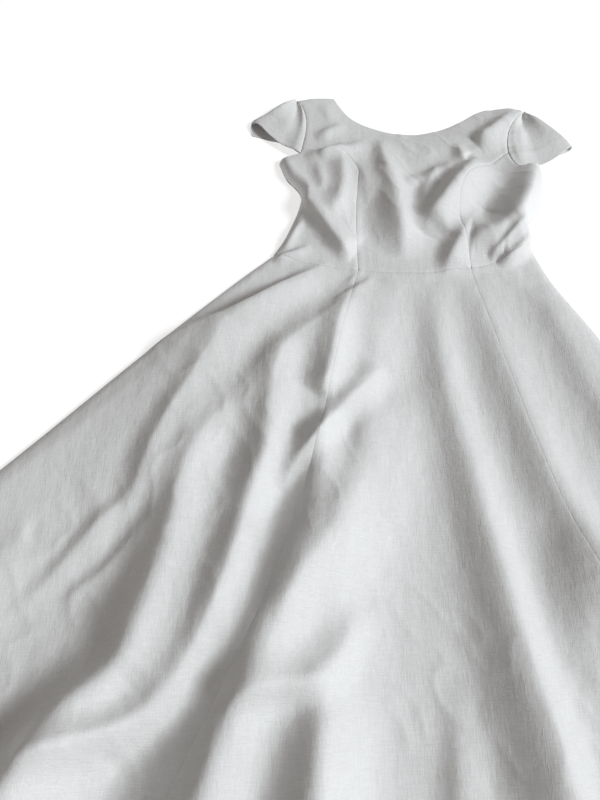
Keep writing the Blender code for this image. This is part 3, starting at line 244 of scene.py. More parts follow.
bodiceFolds = {
    "left side": [
        (-0.191, 0.203, 0.007, 0.007, 0.014), (-0.181, 0.173, 0.011, 0.007, 0.015),
        (-0.166, 0.143, 0.013, 0.007, 0.018), (-0.141, 0.107, 0.018, 0.008, 0.022),
        (-0.119, 0.069, 0.019, 0.008, 0.022), (-0.099, 0.037, 0.018, 0.008, 0.018),
        (-0.091, 0.018, 0.009, 0.008, 0.014), (-0.084, 0.004, 0.000, 0.007, 0.012)],
    "left of the seam": [
        (-0.096, 0.225, 0.000, 0.011, 0.012), (-0.095, 0.200, 0.008, 0.012, 0.012),
        (-0.094, 0.165, 0.011, 0.013, 0.012), (-0.100, 0.130, 0.011, 0.013, 0.012),
        (-0.109, 0.100, 0.008, 0.012, 0.012), (-0.116, 0.075, 0.000, 0.010, 0.012)],
    "small, left": [
        (-0.138, 0.212, 0.000, 0.007, 0.010), (-0.132, 0.180, 0.005, 0.008, 0.010),
        (-0.129, 0.155, 0.005, 0.008, 0.010), (-0.130, 0.130, 0.000, 0.007, 0.010)],
    "small, right of the seam": [
        (-0.064, 0.205, 0.000, 0.006, 0.012), (-0.058, 0.175, 0.006, 0.007, 0.014),
        (-0.057, 0.145, 0.006, 0.008, 0.014), (-0.060, 0.110, 0.000, 0.006, 0.012)],
    "centre": [
        (-0.030, 0.262, 0.000, 0.008, 0.012), (-0.024, 0.225, 0.010, 0.009, 0.014),
        (-0.018, 0.190, 0.019, 0.014, 0.018), (-0.010, 0.150, 0.022, 0.019, 0.020),
        (-0.006, 0.110, 0.026, 0.020, 0.020), (-0.003, 0.070, 0.023, 0.018, 0.020),
        (-0.004, 0.035, 0.012, 0.014, 0.018), (-0.006, 0.000, 0.000, 0.010, 0.014)],
    "right of the centre": [
        (0.134, 0.212, 0.000, 0.009, 0.016), (0.122, 0.197, 0.027, 0.017, 0.024),
        (0.098, 0.168, 0.037, 0.019, 0.024), (0.075, 0.136, 0.039, 0.019, 0.024),
        (0.053, 0.104, 0.035, 0.018, 0.024), (0.039, 0.074, 0.017, 0.015, 0.020),
        (0.028, 0.045, 0.000, 0.008, 0.016)],
    "over the top of that fold": [
        (0.104, 0.252, 0.000, 0.006, 0.008), (0.106, 0.236, 0.007, 0.007, 0.009),
        (0.109, 0.219, 0.009, 0.008, 0.010), (0.114, 0.204, 0.000, 0.008, 0.010)],
    "thin, right of the centre": [
        (0.062, 0.182, 0.000, 0.006, 0.008), (0.048, 0.158, 0.006, 0.007, 0.008),
        (0.036, 0.130, 0.006, 0.007, 0.008), (0.030, 0.100, 0.000, 0.006, 0.008)],
    "low, right of the centre": [
        (0.122, 0.096, 0.000, 0.009, 0.016), (0.104, 0.070, 0.012, 0.010, 0.020),
        (0.085, 0.042, 0.018, 0.011, 0.020), (0.070, 0.014, 0.016, 0.010, 0.018),
        (0.062, -0.008, 0.008, 0.009, 0.016), (0.058, -0.030, 0.000, 0.008, 0.014)],
    "right side": [
        (0.228, 0.205, 0.014, 0.019, 0.016), (0.222, 0.176, 0.030, 0.023, 0.016),
        (0.211, 0.144, 0.040, 0.024, 0.016), (0.196, 0.116, 0.042, 0.024, 0.016),
        (0.183, 0.092, 0.040, 0.023, 0.017), (0.158, 0.072, 0.034, 0.021, 0.017),
        (0.132, 0.055, 0.026, 0.018, 0.015), (0.110, 0.040, 0.014, 0.014, 0.013),
        (0.094, 0.028, 0.000, 0.010, 0.012)],
    "right side, low roll": [
        (0.192, 0.066, 0.000, 0.004, 0.006), (0.176, 0.051, 0.009, 0.005, 0.006),
        (0.158, 0.035, 0.013, 0.005, 0.006), (0.138, 0.017, 0.012, 0.005, 0.006),
        (0.122, 0.003, 0.000, 0.005, 0.005)],
    "right waist, flap": [
        (0.206, 0.064, 0.000, 0.006, 0.006), (0.196, 0.046, 0.015, 0.010, 0.006),
        (0.178, 0.026, 0.020, 0.010, 0.006), (0.158, 0.010, 0.017, 0.009, 0.005),
        (0.136, -0.002, 0.000, 0.006, 0.005)],
    "right shoulder": [
        (0.222, 0.340, 0.000, 0.008, 0.014), (0.202, 0.325, 0.011, 0.010, 0.018),
        (0.179, 0.303, 0.017, 0.011, 0.020), (0.159, 0.284, 0.016, 0.011, 0.020),
        (0.144, 0.269, 0.009, 0.010, 0.018), (0.132, 0.255, 0.000, 0.009, 0.016)],
}
# Small creases, in the same rows
creases = {
    "soft, left skirt": [
        (-0.489, -0.395, 0.000, 0.006, 0.006), (-0.490, -0.425, -0.002, 0.006, 0.006),
        (-0.487, -0.450, 0.000, 0.006, 0.006)],
    "by the waist, one": [
        (-0.050, -0.028, 0.000, 0.003, 0.005), (-0.075, -0.050, 0.002, 0.003, 0.005),
        (-0.100, -0.070, 0.002, 0.003, 0.005), (-0.120, -0.088, 0.000, 0.003, 0.005)],
    "by the waist, two": [
        (-0.070, -0.020, 0.000, 0.003, 0.005), (-0.088, -0.036, 0.002, 0.003, 0.005),
        (-0.104, -0.050, 0.000, 0.003, 0.005)],
    "middle of the hem": [
        (-0.058, -0.615, 0.000, 0.003, 0.006), (-0.054, -0.640, 0.001, 0.003, 0.006),
        (-0.050, -0.665, 0.000, 0.003, 0.006)],
    "front, upper": [
        (0.096, 0.206, 0.000, 0.008, 0.010), (0.075, 0.188, 0.006, 0.009, 0.010),
        (0.045, 0.169, 0.008, 0.010, 0.010), (0.020, 0.154, 0.006, 0.009, 0.010),
        (0.004, 0.143, 0.000, 0.008, 0.009)],
    "front, upper left": [
        (-0.050, 0.255, 0.000, 0.006, 0.010), (-0.080, 0.241, 0.006, 0.008, 0.011),
        (-0.105, 0.233, 0.009, 0.009, 0.011), (-0.135, 0.228, 0.007, 0.008, 0.010),
        (-0.158, 0.223, 0.000, 0.007, 0.009)],
    "upper left, second": [
        (-0.085, 0.302, 0.000, 0.006, 0.010), (-0.105, 0.294, 0.005, 0.007, 0.010),
        (-0.122, 0.279, 0.006, 0.008, 0.010), (-0.140, 0.263, 0.000, 0.007, 0.009)],
    "upper left, short": [
        (-0.086, 0.246, 0.000, 0.005, 0.008), (-0.104, 0.236, 0.005, 0.005, 0.008),
        (-0.124, 0.226, 0.006, 0.005, 0.007), (-0.135, 0.212, 0.000, 0.005, 0.007)],
    "left shoulder": [
        (-0.122, 0.362, 0.000, 0.007, 0.010), (-0.118, 0.340, 0.003, 0.007, 0.010),
        (-0.110, 0.312, 0.002, 0.007, 0.010), (-0.104, 0.295, 0.000, 0.007, 0.010)],
    "left waist, one": [
        (-0.160, 0.080, 0.000, 0.003, 0.006), (-0.174, 0.062, 0.005, 0.003, 0.006),
        (-0.184, 0.040, 0.005, 0.004, 0.006), (-0.192, 0.020, 0.000, 0.003, 0.006)],
    "left waist, two": [
        (-0.148, 0.026, 0.000, 0.004, 0.008), (-0.170, 0.020, 0.006, 0.004, 0.008),
        (-0.192, 0.012, 0.006, 0.004, 0.008), (-0.205, 0.000, 0.000, 0.004, 0.008)],
    "right waist, one": [
        (0.118, 0.004, 0.000, 0.004, 0.006), (0.132, 0.022, 0.003, 0.004, 0.006),
        (0.150, 0.046, 0.000, 0.004, 0.006)],
    "right waist, two": [
        (0.152, 0.014, 0.000, 0.004, 0.005), (0.170, 0.030, 0.003, 0.004, 0.005),
        (0.186, 0.046, 0.000, 0.004, 0.005)],
    "right chest": [
        (0.150, 0.246, 0.000, 0.006, 0.012), (0.135, 0.236, 0.002, 0.006, 0.012),
        (0.118, 0.230, 0.002, 0.006, 0.012), (0.100, 0.236, 0.000, 0.006, 0.010)],
}
# Soft ripples of the hidden back, which lies flat between them, in the same rows
backCreases = {
    "left": [
        (-0.150, -0.150, 0.000, 0.010, 0.012), (-0.230, -0.260, 0.003, 0.010, 0.014),
        (-0.330, -0.420, 0.004, 0.012, 0.016), (-0.420, -0.560, 0.003, 0.012, 0.016),
        (-0.470, -0.650, 0.000, 0.012, 0.016)],
    "centre": [
        (-0.020, -0.120, 0.000, 0.009, 0.012), (-0.035, -0.300, 0.004, 0.010, 0.014),
        (-0.050, -0.520, 0.004, 0.012, 0.014), (-0.070, -0.760, 0.003, 0.012, 0.016),
        (-0.072, -0.820, 0.003, 0.012, 0.016)],
    "right": [
        (0.120, -0.180, 0.000, 0.010, 0.010), (0.175, -0.330, 0.003, 0.010, 0.012),
        (0.230, -0.500, 0.004, 0.012, 0.012), (0.320, -0.720, 0.003, 0.012, 0.014)],
    "under the bodice": [
        (-0.080, 0.170, 0.000, 0.008, 0.010), (-0.040, 0.120, 0.003, 0.008, 0.010),
        (0.010, 0.070, 0.003, 0.008, 0.010), (0.060, 0.045, 0.000, 0.008, 0.010)],
}

# How a fold falls from its crest, with distances as shares of its listed width
foldFall = {
    "reach": 3.6,              # a fold is not felt beyond this
    "crestWidth": 0.2,         # how round a crisp crest is
    "crispSteepness": 0.7,
    "crispPower": 1.35,
    "crispFoot": 2.4,          # where a crisp fold runs out
    "softSteepness": 0.5,
}

# Fine unevenness of the linen: ripples by height and size, and sharp creases in patches
crumple = {
    "heights": (0.0012, 0.0005),
    "sizes": (0.055, 0.020),
    "stretch": 0.55,           # ripples are longer along the dress
    "creaseHeight": 0.0016,
    "creaseSize": 0.034,
    "creaseSharp": 0.16,
    "creaseTurn": (0.8, 0.6),  # the creases' slant, as its cosine and sine
    "patchSize": 0.13,
    "patchEdge": 2.2,
    "patchShare": 0.35,
    "rippleSeed": 1.7,
    "creaseSeed": 6.7,
    "patchSeed": 10.7,
}

# How finely curves are followed
curveSamples = {"usual": 41, "betweenPoints": 16, "panelEdge": 97, "waist": 21, "waistSeamStep": 4}


# Evenly spaced points on a smooth curve through the given ones
def smoothCurve(points, samples=curveSamples["usual"]):
    points = np.array(points, float)
    ends = np.vstack([2 * points[0] - points[1], points, 2 * points[-1] - points[-2]])
    stretches = []
    for a, b, c, d in zip(ends, ends[1:], ends[2:], ends[3:]):
        t = np.linspace(0, 1, curveSamples["betweenPoints"], endpoint=False)[:, None]
        bend = (c - a) * t + (2 * a - 5 * b + 4 * c - d) * t**2 + (3 * b - a - 3 * c + d) * t**3
        stretches.append(b + 0.5 * bend)
    line = np.vstack(stretches + [points[-1:]])
    length = np.concatenate([[0], np.cumsum(np.linalg.norm(np.diff(line[:, :2], axis=0), axis=1))])
    wanted = np.linspace(0, length[-1], samples)
    return np.stack([np.interp(wanted, length, line[:, k]) for k in range(line.shape[1])], axis=1)


def curveLength(line):
    return np.linalg.norm(np.diff(line[:, :2], axis=0), axis=1).sum()


def spacedCurve(points, spacing):
    return smoothCurve(points, max(3, round(curveLength(smoothCurve(points)) / spacing) + 1))


# Distance from each point to a line, the side it is on, and its place along it from 0 to 1
def nearestOnLine(xy, line):
    start = line[:-1, :2]
    step = np.diff(line[:, :2], axis=0)
    fromStart = xy[:, None, :] - start[None]
    share = np.clip((fromStart * step).sum(2) / (step**2).sum(1), 0, 1)
    away = fromStart - share[..., None] * step
    distance = np.linalg.norm(away, axis=2)
    best = distance.argmin(axis=1)
    rows = np.arange(len(xy))
    side = step[best, 0] * away[rows, best, 1] - step[best, 1] * away[rows, best, 0]
    return distance[rows, best], np.sign(side), (best + share[rows, best]) / len(step)


# Numbers of the points that lie in the line's box, widened by reach
def near(xy, line, reach):
    low = line[:, :2].min(axis=0) - reach
    high = line[:, :2].max(axis=0) + reach
    return np.nonzero(((xy > low) & (xy < high)).all(axis=1))[0]


# Crest rows, listed as the camera sees them, moved to where they lie at their height
def placed(rows, rest):
    rows = np.array(rows, float)
    foot = np.array(view["foot"])
    rows[:, :2] = foot + (rows[:, :2] - foot) * (1 - (rest + rows[:, 2:3]) / view["height"])
    return rows


def foldHeight(xy, rows, rest, crisp):
    line = smoothCurve(placed(rows, rest))
    height = np.zeros(len(xy))
    close = near(xy, line, foldFall["reach"] * line[:, 3:5].max())
    if len(close):
        distance, side, along = nearestOnLine(xy[close], line)
        crest, left, right = [np.interp(along, np.linspace(0, 1, len(line)), line[:, k]) for k in (2, 3, 4)]
        away = distance / np.where(side < 0, left, right)
        if crisp:
            crestWidth = foldFall["crestWidth"]
            beyond = np.sqrt(away**2 + crestWidth**2) - crestWidth
            drop = foldFall["crispSteepness"] * beyond ** foldFall["crispPower"]
            drop += (away / foldFall["crispFoot"]) ** 4
        else:
            drop = foldFall["softSteepness"] * away**2
        height[close] = crest * np.exp(-drop)
    return height


def foldsHeight(xy, table, rest, crisp=False):
    return sum(foldHeight(xy, rows, rest, crisp) for rows in table.values())


# Distance to a curve, or reach where it is farther away
def lineDistance(xy, points, reach):
    line = smoothCurve(points)
    distance = np.full(len(xy), reach)
    close = near(xy, line, reach)
    if len(close):
        distance[close] = np.minimum(nearestOnLine(xy[close], line)[0], reach)
    return distance


# 0 at the folded sides and shoulders, rising as a quarter circle to 1 inside them
def sideRounding(xy):
    factor = np.ones(len(xy))
    rolls = [(skirtLeftSide, cloth["sideRoll"]), (skirtRightSide, cloth["sideRoll"]),
             (bodiceLeftSide, cloth["sideRoll"]), (bodiceRightSide, cloth["sideRoll"]),
             (leftShoulder, cloth["shoulderRoll"]), (rightShoulder, cloth["shoulderRoll"])]
    for line, roll in rolls:
        share = lineDistance(xy, line, roll) / roll
        factor = np.minimum(factor, np.sqrt(1 - (1 - share) ** 2))
    return factor


# The front's height with its folds, without seams and fine ripples
def baseTop(xy, rounding=None):
    if rounding is None:
        rounding = sideRounding(xy)
    neck = lineDistance(xy, neckline, cloth["neckReach"]) / cloth["neckReach"]
    flat = 1 - cloth["neckFlat"] * (1 - neck) ** 2
    lift = np.full(len(xy), cloth["frontLift"])
    for mound in mounds:
        across = (xy[:, 0] - mound["x"]) / mound["reachX"]
        along = (xy[:, 1] - mound["y"]) / mound["reachY"]
        lift += mound["height"] * np.exp(-0.5 * (across**2 + along**2))
    lift *= flat
    lift += foldsHeight(xy, skirtFolds, view["skirtRest"], True)
    lift += foldsHeight(xy, softFolds, view["skirtRest"])
    lift += foldsHeight(xy, bodiceFolds, view["bodiceRest"], True)
    lift += foldsHeight(xy, creases, view["bodiceRest"])
    rest = cloth["edgeTop"] + (cloth["frontTop"] - cloth["edgeTop"]) * rounding
    return rest + lift * rounding


# Smooth noise between -1 and 1, longer along the dress than across it
def noiseAt(xy, size, seed):
    places = [Vector((x / size, y * crumple["stretch"] / size, seed)) for x, y in xy]
    return np.array([noise.noise(place) for place in places])


# Slow uneven ripples, and small sharp creases in patches
def crumpleHeight(xy):
    total = np.zeros(len(xy))
    for height, size in zip(crumple["heights"], crumple["sizes"]):
        total += height * noiseAt(xy, size, crumple["rippleSeed"])
    cosine, sine = crumple["creaseTurn"]
    turned = np.column_stack([cosine * xy[:, 0] + sine * xy[:, 1], cosine * xy[:, 1] - sine * xy[:, 0]])
    lines = np.abs(noiseAt(turned, crumple["creaseSize"], crumple["creaseSeed"]))
    crease = np.exp(-lines / crumple["creaseSharp"])
    patch = noiseAt(xy, crumple["patchSize"], crumple["patchSeed"])
    patches = np.clip(crumple["patchEdge"] * patch + crumple["patchShare"], 0, 1)
    return total + crumple["creaseHeight"] * crease * patches


# The waist seam from the left side to the right
def waistCurve():
    rows = [skirtRow(panel, 0, np.linspace(0, 1, curveSamples["waist"])[:, None]) for panel in skirtPanels]
    return np.vstack([rows[0][:-1], rows[1][:-1], rows[2]])


# A narrow groove on each seam, between the soft bulges of its turned allowances
def seamProfile(xy):
    total = np.zeros(len(xy))
    reach = cloth["seamReach"] * cloth["seamBulgeAt"]
    bulgeWidth = cloth["seamBulgeWidth"] * cloth["seamBulgeAt"]
    for seam in seams:
        distance = lineDistance(xy, seam["line"], reach)
        groove = np.clip(1 - distance / cloth["seamWidth"], 0, 1) ** 2
        bulge = np.exp(-0.5 * ((distance - cloth["seamBulgeAt"]) / bulgeWidth) ** 2)
        total += seam["bulge"] * bulge - seam["depth"] * groove
    for line in finishedEdges:
        distance = lineDistance(xy, line, reach)
        total -= cloth["edgeDepth"] * np.clip(1 - distance / cloth["edgeWidth"], 0, 1) ** 2
    return total


# The skirt's hem is turned up once: its band stands a little proud, with a soft step at its top
def hemProfile(xy):
    distance = lineDistance(xy, hemLine, 2 * cloth["hemFold"])
    band = 1 / (1 + np.exp((distance - cloth["hemFold"]) / cloth["hemSoftness"]))
    return cloth["hemStep"] * band


# Height of the top of the front
def frontTop(xy):
    rounding = sideRounding(xy)
    return baseTop(xy, rounding) + crumpleHeight(xy) * rounding + seamProfile(xy) + hemProfile(xy)


# Where the back begins to rise with the front's folds, how soon it does so, and how much
backFollow = {"start": -0.25, "length": 0.45, "share": 0.25}


# Height of the top of the back: flat on the floor between soft ripples
def backTop(xy):
    down = np.clip((backFollow["start"] - xy[:, 1]) / backFollow["length"], 0, 1)
    folds = foldsHeight(xy, skirtFolds, view["skirtRest"], True)
    folds += foldsHeight(xy, softFolds, view["skirtRest"])
    follow = np.maximum(folds - cloth["frontLift"], 0)
    ripple = foldsHeight(xy, backCreases, 0)
    return cloth["thickness"] + (backFollow["share"] * down * follow + ripple) * sideRounding(xy)


# The front of the skirt: each panel's edges, how far its waist and hem bow out, its mesh and its cut
skirtPanels = [
    {"name": "skirt_front_left", "left": skirtLeftSide, "right": skirtLeftSeam, "waistBow": 0.006,
     "hemBow": 0.024, "columns": 130, "rows": 190, "cut": (0.62, 0.80), "area": 0.28},
    {"name": "skirt_front_centre", "left": skirtLeftSeam, "right": skirtRightSeam, "waistBow": 0.007,
     "hemBow": 0.047, "columns": 160, "rows": 190, "cut": (0.70, 0.80), "area": 0.30},
    {"name": "skirt_front_right", "left": skirtRightSeam, "right": skirtRightSide, "waistBow": 0.005,
     "hemBow": 0.025, "columns": 95, "rows": 190, "cut": (0.40, 0.80), "area": 0.19},
]


# Plan points across a skirt panel, at a share of the way down and shares of the way across
def skirtRow(panel, down, across):
    samples = curveSamples["panelEdge"]
    left = smoothCurve(panel["left"], samples)
    right = smoothCurve(panel["right"], samples)
    places = np.linspace(0, 1, samples)
    start = np.array([np.interp(down, places, left[:, k]) for k in (0, 1)])
    end = np.array([np.interp(down, places, right[:, k]) for k in (0, 1)])
    chord = end - start
    along = chord / np.linalg.norm(chord)
    bow = (1 - down) * panel["waistBow"] + down * panel["hemBow"]
    outward = np.array([along[1], -along[0]])
    return start + across * chord + 4 * across * (1 - across) * bow * outward


# Shares from 0 to 1 that are close together at both ends
def rimmed(count, length):
    ends = np.array(rimSteps) / length
    middle = np.linspace(2 * ends[-1], 1 - 2 * ends[-1], count)
    return np.concatenate([ends, middle, 1 - ends[::-1]])


def gridFaces(columns, rows):
    wide = columns + 1
    return [(r * wide + c, (r + 1) * wide + c, (r + 1) * wide + c + 1, r * wide + c + 1)
            for r in range(rows) for c in range(columns)]


# A thin shell of cloth under the given surface
def addCloth(name, points, faces):
    mesh = bpy.data.meshes.new("cloth_" + name)
    mesh.from_pydata([tuple(p) for p in points], [], faces)
    mesh.validate()
    mesh.shade_smooth()
    mesh.materials.append(linen)
    piece = bpy.data.objects.new("cloth_" + name, mesh)
    bpy.context.scene.collection.objects.link(piece)
    shell = piece.modifiers.new("cloth", "SOLIDIFY")
    shell.thickness = cloth["thickness"]
    shell.offset = -1
    shell.use_even_offset = False
    return piece


# Joins a piece of cloth to the frame
def dressPiece(piece, node, cut, area, restsOn):
    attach(piece, "root")
    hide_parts(node)


def buildSkirtFront():
    for panel in skirtPanels:
        downs = rimmed(panel["rows"], curveLength(smoothCurve(panel["left"])))
        plan = []
        for down in downs:
            ends = skirtRow(panel, down, np.array([[0.0], [1.0]]))
            width = np.linalg.norm(ends[1] - ends[0])
            plan.append(skirtRow(panel, down, rimmed(panel["columns"], width)[:, None]))
        plan = np.array(plan)
        columns = plan.shape[1] - 1
        plan = plan.reshape(-1, 2)
        points = np.column_stack([plan, frontTop(plan)])
        piece = addCloth(panel["name"], points, gridFaces(columns, len(downs) - 1))
        dressPiece(piece, panel["name"], panel["cut"], panel["area"], ["skirt_back"])
        print("cloth", panel["name"], len(points), "points")


# One anticlockwise outline from stretches that meet end to end, each in either direction
def joined(stretches):
    ring = stretches[0]
    ends = np.array([stretches[1][0], stretches[1][-1]])
    if np.linalg.norm(ends - ring[0], axis=1).min() < np.linalg.norm(ends - ring[-1], axis=1).min():
        ring = ring[::-1]
    for stretch in stretches[1:]:
        if np.linalg.norm(stretch[0] - ring[-1]) > np.linalg.norm(stretch[-1] - ring[-1]):
            stretch = stretch[::-1]
        ring = np.vstack([ring, stretch[1:]])
    ring = ring[:-1]
    following = np.roll(ring, -1, axis=0)
    area = (ring[:, 0] * following[:, 1] - ring[:, 1] * following[:, 0]).sum() / 2
    return ring if area > 0 else ring[::-1]


# An anticlockwise outline moved inwards
def insetOutline(outline, distance):
    ahead = np.roll(outline, -1, axis=0) - outline
    ahead /= np.linalg.norm(ahead, axis=1)[:, None]
    behind = np.roll(ahead, 1, axis=0)
    inward = np.stack([-(ahead + behind)[:, 1], (ahead + behind)[:, 0]], axis=1)
    return outline + distance * inward / np.linalg.norm(inward, axis=1)[:, None]


# How near its neighbours a point may lie in a filled outline, as a share of their spacing
filling = {"ringGap": 0.9, "innerGap": 0.6, "tolerance": 1e-7}


# Plan points and triangles that fill an outline, with finer rings beside its edge
def filledOutline(outline, spacing):
    low = outline.min(axis=0)
    high = outline.max(axis=0)
    rowStep = spacing * math.sqrt(3) / 2
    inner = []
    for row in range(int((high[1] - low[1]) / rowStep) + 1):
        shift = spacing / 2 if row % 2 else 0
        inner.extend((x, low[1] + row * rowStep) for x in np.arange(low[0] + shift, high[0], spacing))
    inner = np.array(inner)
    closed = np.vstack([outline, outline[:1]])
    parts = [outline]
    for step in rimSteps[1:]:
        ring = insetOutline(outline, step)
        parts.append(ring[nearestOnLine(ring, closed)[0] > filling["ringGap"] * step])
    parts.append(inner[nearestOnLine(inner, closed)[0] > rimSteps[-1] + filling["innerGap"] * spacing])
    points = [Vector(p) for part in parts for p in part]
    filled = delaunay_2d_cdt(points, [], [list(range(len(outline)))], 1, filling["tolerance"])
    faces = [tuple(face) for face in filled[2]]
    return np.array([tuple(p) for p in filled[0]]), faces


# The bodice and the backs: mesh spacing, and each piece's cut as width, length and area
bodice = {
    "spacing": 0.0028,
    "edgeSpacing": 0.0026,
    "cuts": {
        "bodice_front_left": ((0.17, 0.26), 0.030),
        "bodice_front_centre": ((0.42, 0.41), 0.086),
        "bodice_front_right": ((0.16, 0.26), 0.031),
    },
}
backs = {
    "spacing": 0.006,
    "skirtEdgeSpacing": 0.008,
    "cuts": {
        "bodice_back": ((0.47, 0.40), 0.126),
        "skirt_back": ((1.36, 0.82), 0.72),
    },
}


def edge(points):
    return spacedCurve(points, bodice["edgeSpacing"])


def waistStretch(panel):
    width = curveLength(skirtRow(panel, 0, np.linspace(0, 1, curveSamples["waist"])[:, None]))
    count = round(width / bodice["edgeSpacing"]) + 1
    return skirtRow(panel, 0, np.linspace(0, 1, count)[:, None])


def buildBodiceFront():
    leftWaist, centreWaist, rightWaist = [waistStretch(panel) for panel in skirtPanels]
    pieces = {
        "bodice_front_left": [leftPrincess, leftArmholeLower, leftUnderarm, bodiceLeftSide],
        "bodice_front_centre": [rightPrincess, rightArmholeUpper, rightShoulder, neckline, leftShoulder,
                                leftArmholeUpper, leftPrincess],
        "bodice_front_right": [bodiceRightSide, rightUnderarm, rightArmholeLower, rightPrincess],
    }
    waists = dict(zip(pieces, (leftWaist, centreWaist, rightWaist)))
    for name, lines in pieces.items():
        outline = joined([waists[name]] + [edge(line) for line in lines])
        plan, faces = filledOutline(outline, bodice["spacing"])
        points = np.column_stack([plan, frontTop(plan)])
        piece = addCloth(name, points, faces)
        dressPiece(piece, name, *bodice["cuts"][name], ["bodice_back"])
        print("cloth", name, len(points), "points")


def buildBacks():
    waist = waistCurve()
    bodiceEdges = [bodiceRightSide, rightUnderarm, rightArmholeLower, rightArmholeUpper, rightShoulder,
                   neckline, leftShoulder, leftArmholeUpper, leftArmholeLower, leftUnderarm, bodiceLeftSide]
    rightSide = spacedCurve(skirtRightSide, backs["skirtEdgeSpacing"])
    leftSide = spacedCurve(skirtLeftSide, backs["skirtEdgeSpacing"])
    outlines = {
        "bodice_back": [waist] + [edge(line) for line in bodiceEdges],
        "skirt_back": [waist, rightSide, hemLine, leftSide],
    }
    for name, stretches in outlines.items():
        plan, faces = filledOutline(joined(stretches), backs["spacing"])
        points = np.column_stack([plan, backTop(plan)])
        piece = addCloth(name, points, faces)
        dressPiece(piece, name, *backs["cuts"][name], ["floor"])
        print("cloth", name, len(points), "points")


# The cap sleeves. The armhole and the folded edge run from the shoulder. frontHem, backHem and rise give,
# at shares of the way out, how far the two hems bow towards the neck and how the front rises. foldRadius is
# at shares of the way down. A dome is its place down and out, its height and both widths, and a gather is
# its place down the armhole, its height, width and length.
sleeves = {
    "sleeve_left": {
        "armhole": (leftArmholeUpper, leftArmholeLower),
        "fold": [(-0.177, 0.348), (-0.199, 0.336), (-0.229, 0.310), (-0.248, 0.289), (-0.251, 0.277)],
        "frontHem": [(0.0, 0.0), (0.22, 0.0), (0.44, 0.001), (0.66, 0.007), (0.82, 0.015), (1.0, 0.018)],
        "backHem": [(0.0, 0.012), (0.20, 0.0145), (0.44, 0.0117), (0.64, 0.0042), (0.81, 0.0), (1.0, -0.006)],
        "rise": [(0.0, 0.0), (0.10, 0.0030), (0.22, 0.0), (0.35, -0.001), (0.50, 0.003), (0.68, 0.008),
                 (0.82, 0.011), (0.93, 0.009), (1.0, 0.0)],
        "foldRadius": [(0.0, 0.0035), (0.5, 0.0040), (1.0, 0.0035)],
        "domes": [(0.62, 0.42, 0.0030, 0.14, 0.12)],
        "gathers": [(0.10, 0.0014, 0.020, 0.35), (0.17, 0.0020, 0.022, 0.50), (0.25, 0.0024, 0.022, 0.62),
                    (0.34, 0.0018, 0.024, 0.45), (0.43, 0.0014, 0.024, 0.30), (0.53, 0.0012, 0.026, 0.25),
                    (0.64, 0.0010, 0.030, 0.30), (0.76, 0.0010, 0.030, 0.25)],
        "area": 0.016,
    },
    "sleeve_right": {
        "armhole": (rightArmholeUpper, rightArmholeLower),
        "fold": [(0.232, 0.3235), (0.243, 0.310), (0.263, 0.282), (0.286, 0.251), (0.296, 0.234)],
        "frontHem": [(0.0, 0.0), (0.25, -0.009), (0.50, -0.011), (0.75, -0.008), (1.0, 0.0)],
        "backHem": [(0.0, 0.0), (0.25, 0.005), (0.50, 0.005), (0.75, 0.002), (1.0, 0.0)],
        "rise": [(0.0, 0.0), (0.15, -0.003), (0.30, -0.0085), (0.45, -0.0120), (0.60, -0.010), (0.75, -0.006),
                 (0.90, -0.001), (1.0, 0.0)],
        "foldRadius": [(0.0, 0.0030), (0.3, 0.0080), (0.7, 0.0085), (1.0, 0.0060)],
        "domes": [(0.52, 0.34, 0.0070, 0.11, 0.13), (0.82, 0.22, 0.0040, 0.10, 0.14)],
        "gathers": [(0.14, 0.0012, 0.022, 0.30), (0.24, 0.0014, 0.024, 0.35), (0.33, 0.0024, 0.024, 0.55),
                    (0.42, 0.0030, 0.024, 0.60), (0.50, 0.0026, 0.024, 0.50), (0.60, 0.0016, 0.026, 0.40),
                    (0.72, 0.0022, 0.030, 0.70), (0.84, 0.0012, 0.030, 0.40)],
        "area": 0.021,
    },
}
sleeveMake = {
    "cut": (0.26, 0.13),
    "seamDepth": 0.0012,
    "rows": 64,
    "columns": 46,
    "turns": 9,                # mesh steps round the folded edge
    "armholeSamples": 60,
    "armholeStep": 6,
    "leastWidth": 0.02,
    "tuckLean": 0.10,
    "tuckFade": 1.5,
    "puffStart": 0.15,         # the front's rise begins and ends at these shares of the way down
    "puffEnd": 0.8,
    "seamHold": (8, 0.3),      # the seam holds tucks and domes down beside it
    "backHeight": 0.0001,
}


def sleeveArmhole(shape):
    upper, lower = [smoothCurve(stretch, sleeveMake["armholeSamples"]) for stretch in shape["armhole"]]
    return smoothCurve(np.vstack([upper[:-1], lower])[::sleeveMake["armholeStep"]], sleeveMake["rows"])


# Small tucks that run out from the armhole seam and die away, and soft domes
def gatherHeight(shape, down, share):
    total = np.zeros(len(share))
    for place, height, width, reach in shape["gathers"]:
        lean = place + sleeveMake["tuckLean"] * share
        fade = np.clip(1 - share / reach, 0, 1) ** sleeveMake["tuckFade"]
        total += height * fade * np.exp(-0.5 * ((down - lean) / width) ** 2)
    for place, out, height, width, length in shape["domes"]:
        total += height * np.exp(-0.5 * (((down - place) / width) ** 2 + ((share - out) / length) ** 2))
    return total


# A smooth value from rows of share and value, with shares that run from the armhole to the fold
def alongRows(rows, share):
    line = smoothCurve(rows)
    return np.interp(share, line[:, 0], line[:, 1])


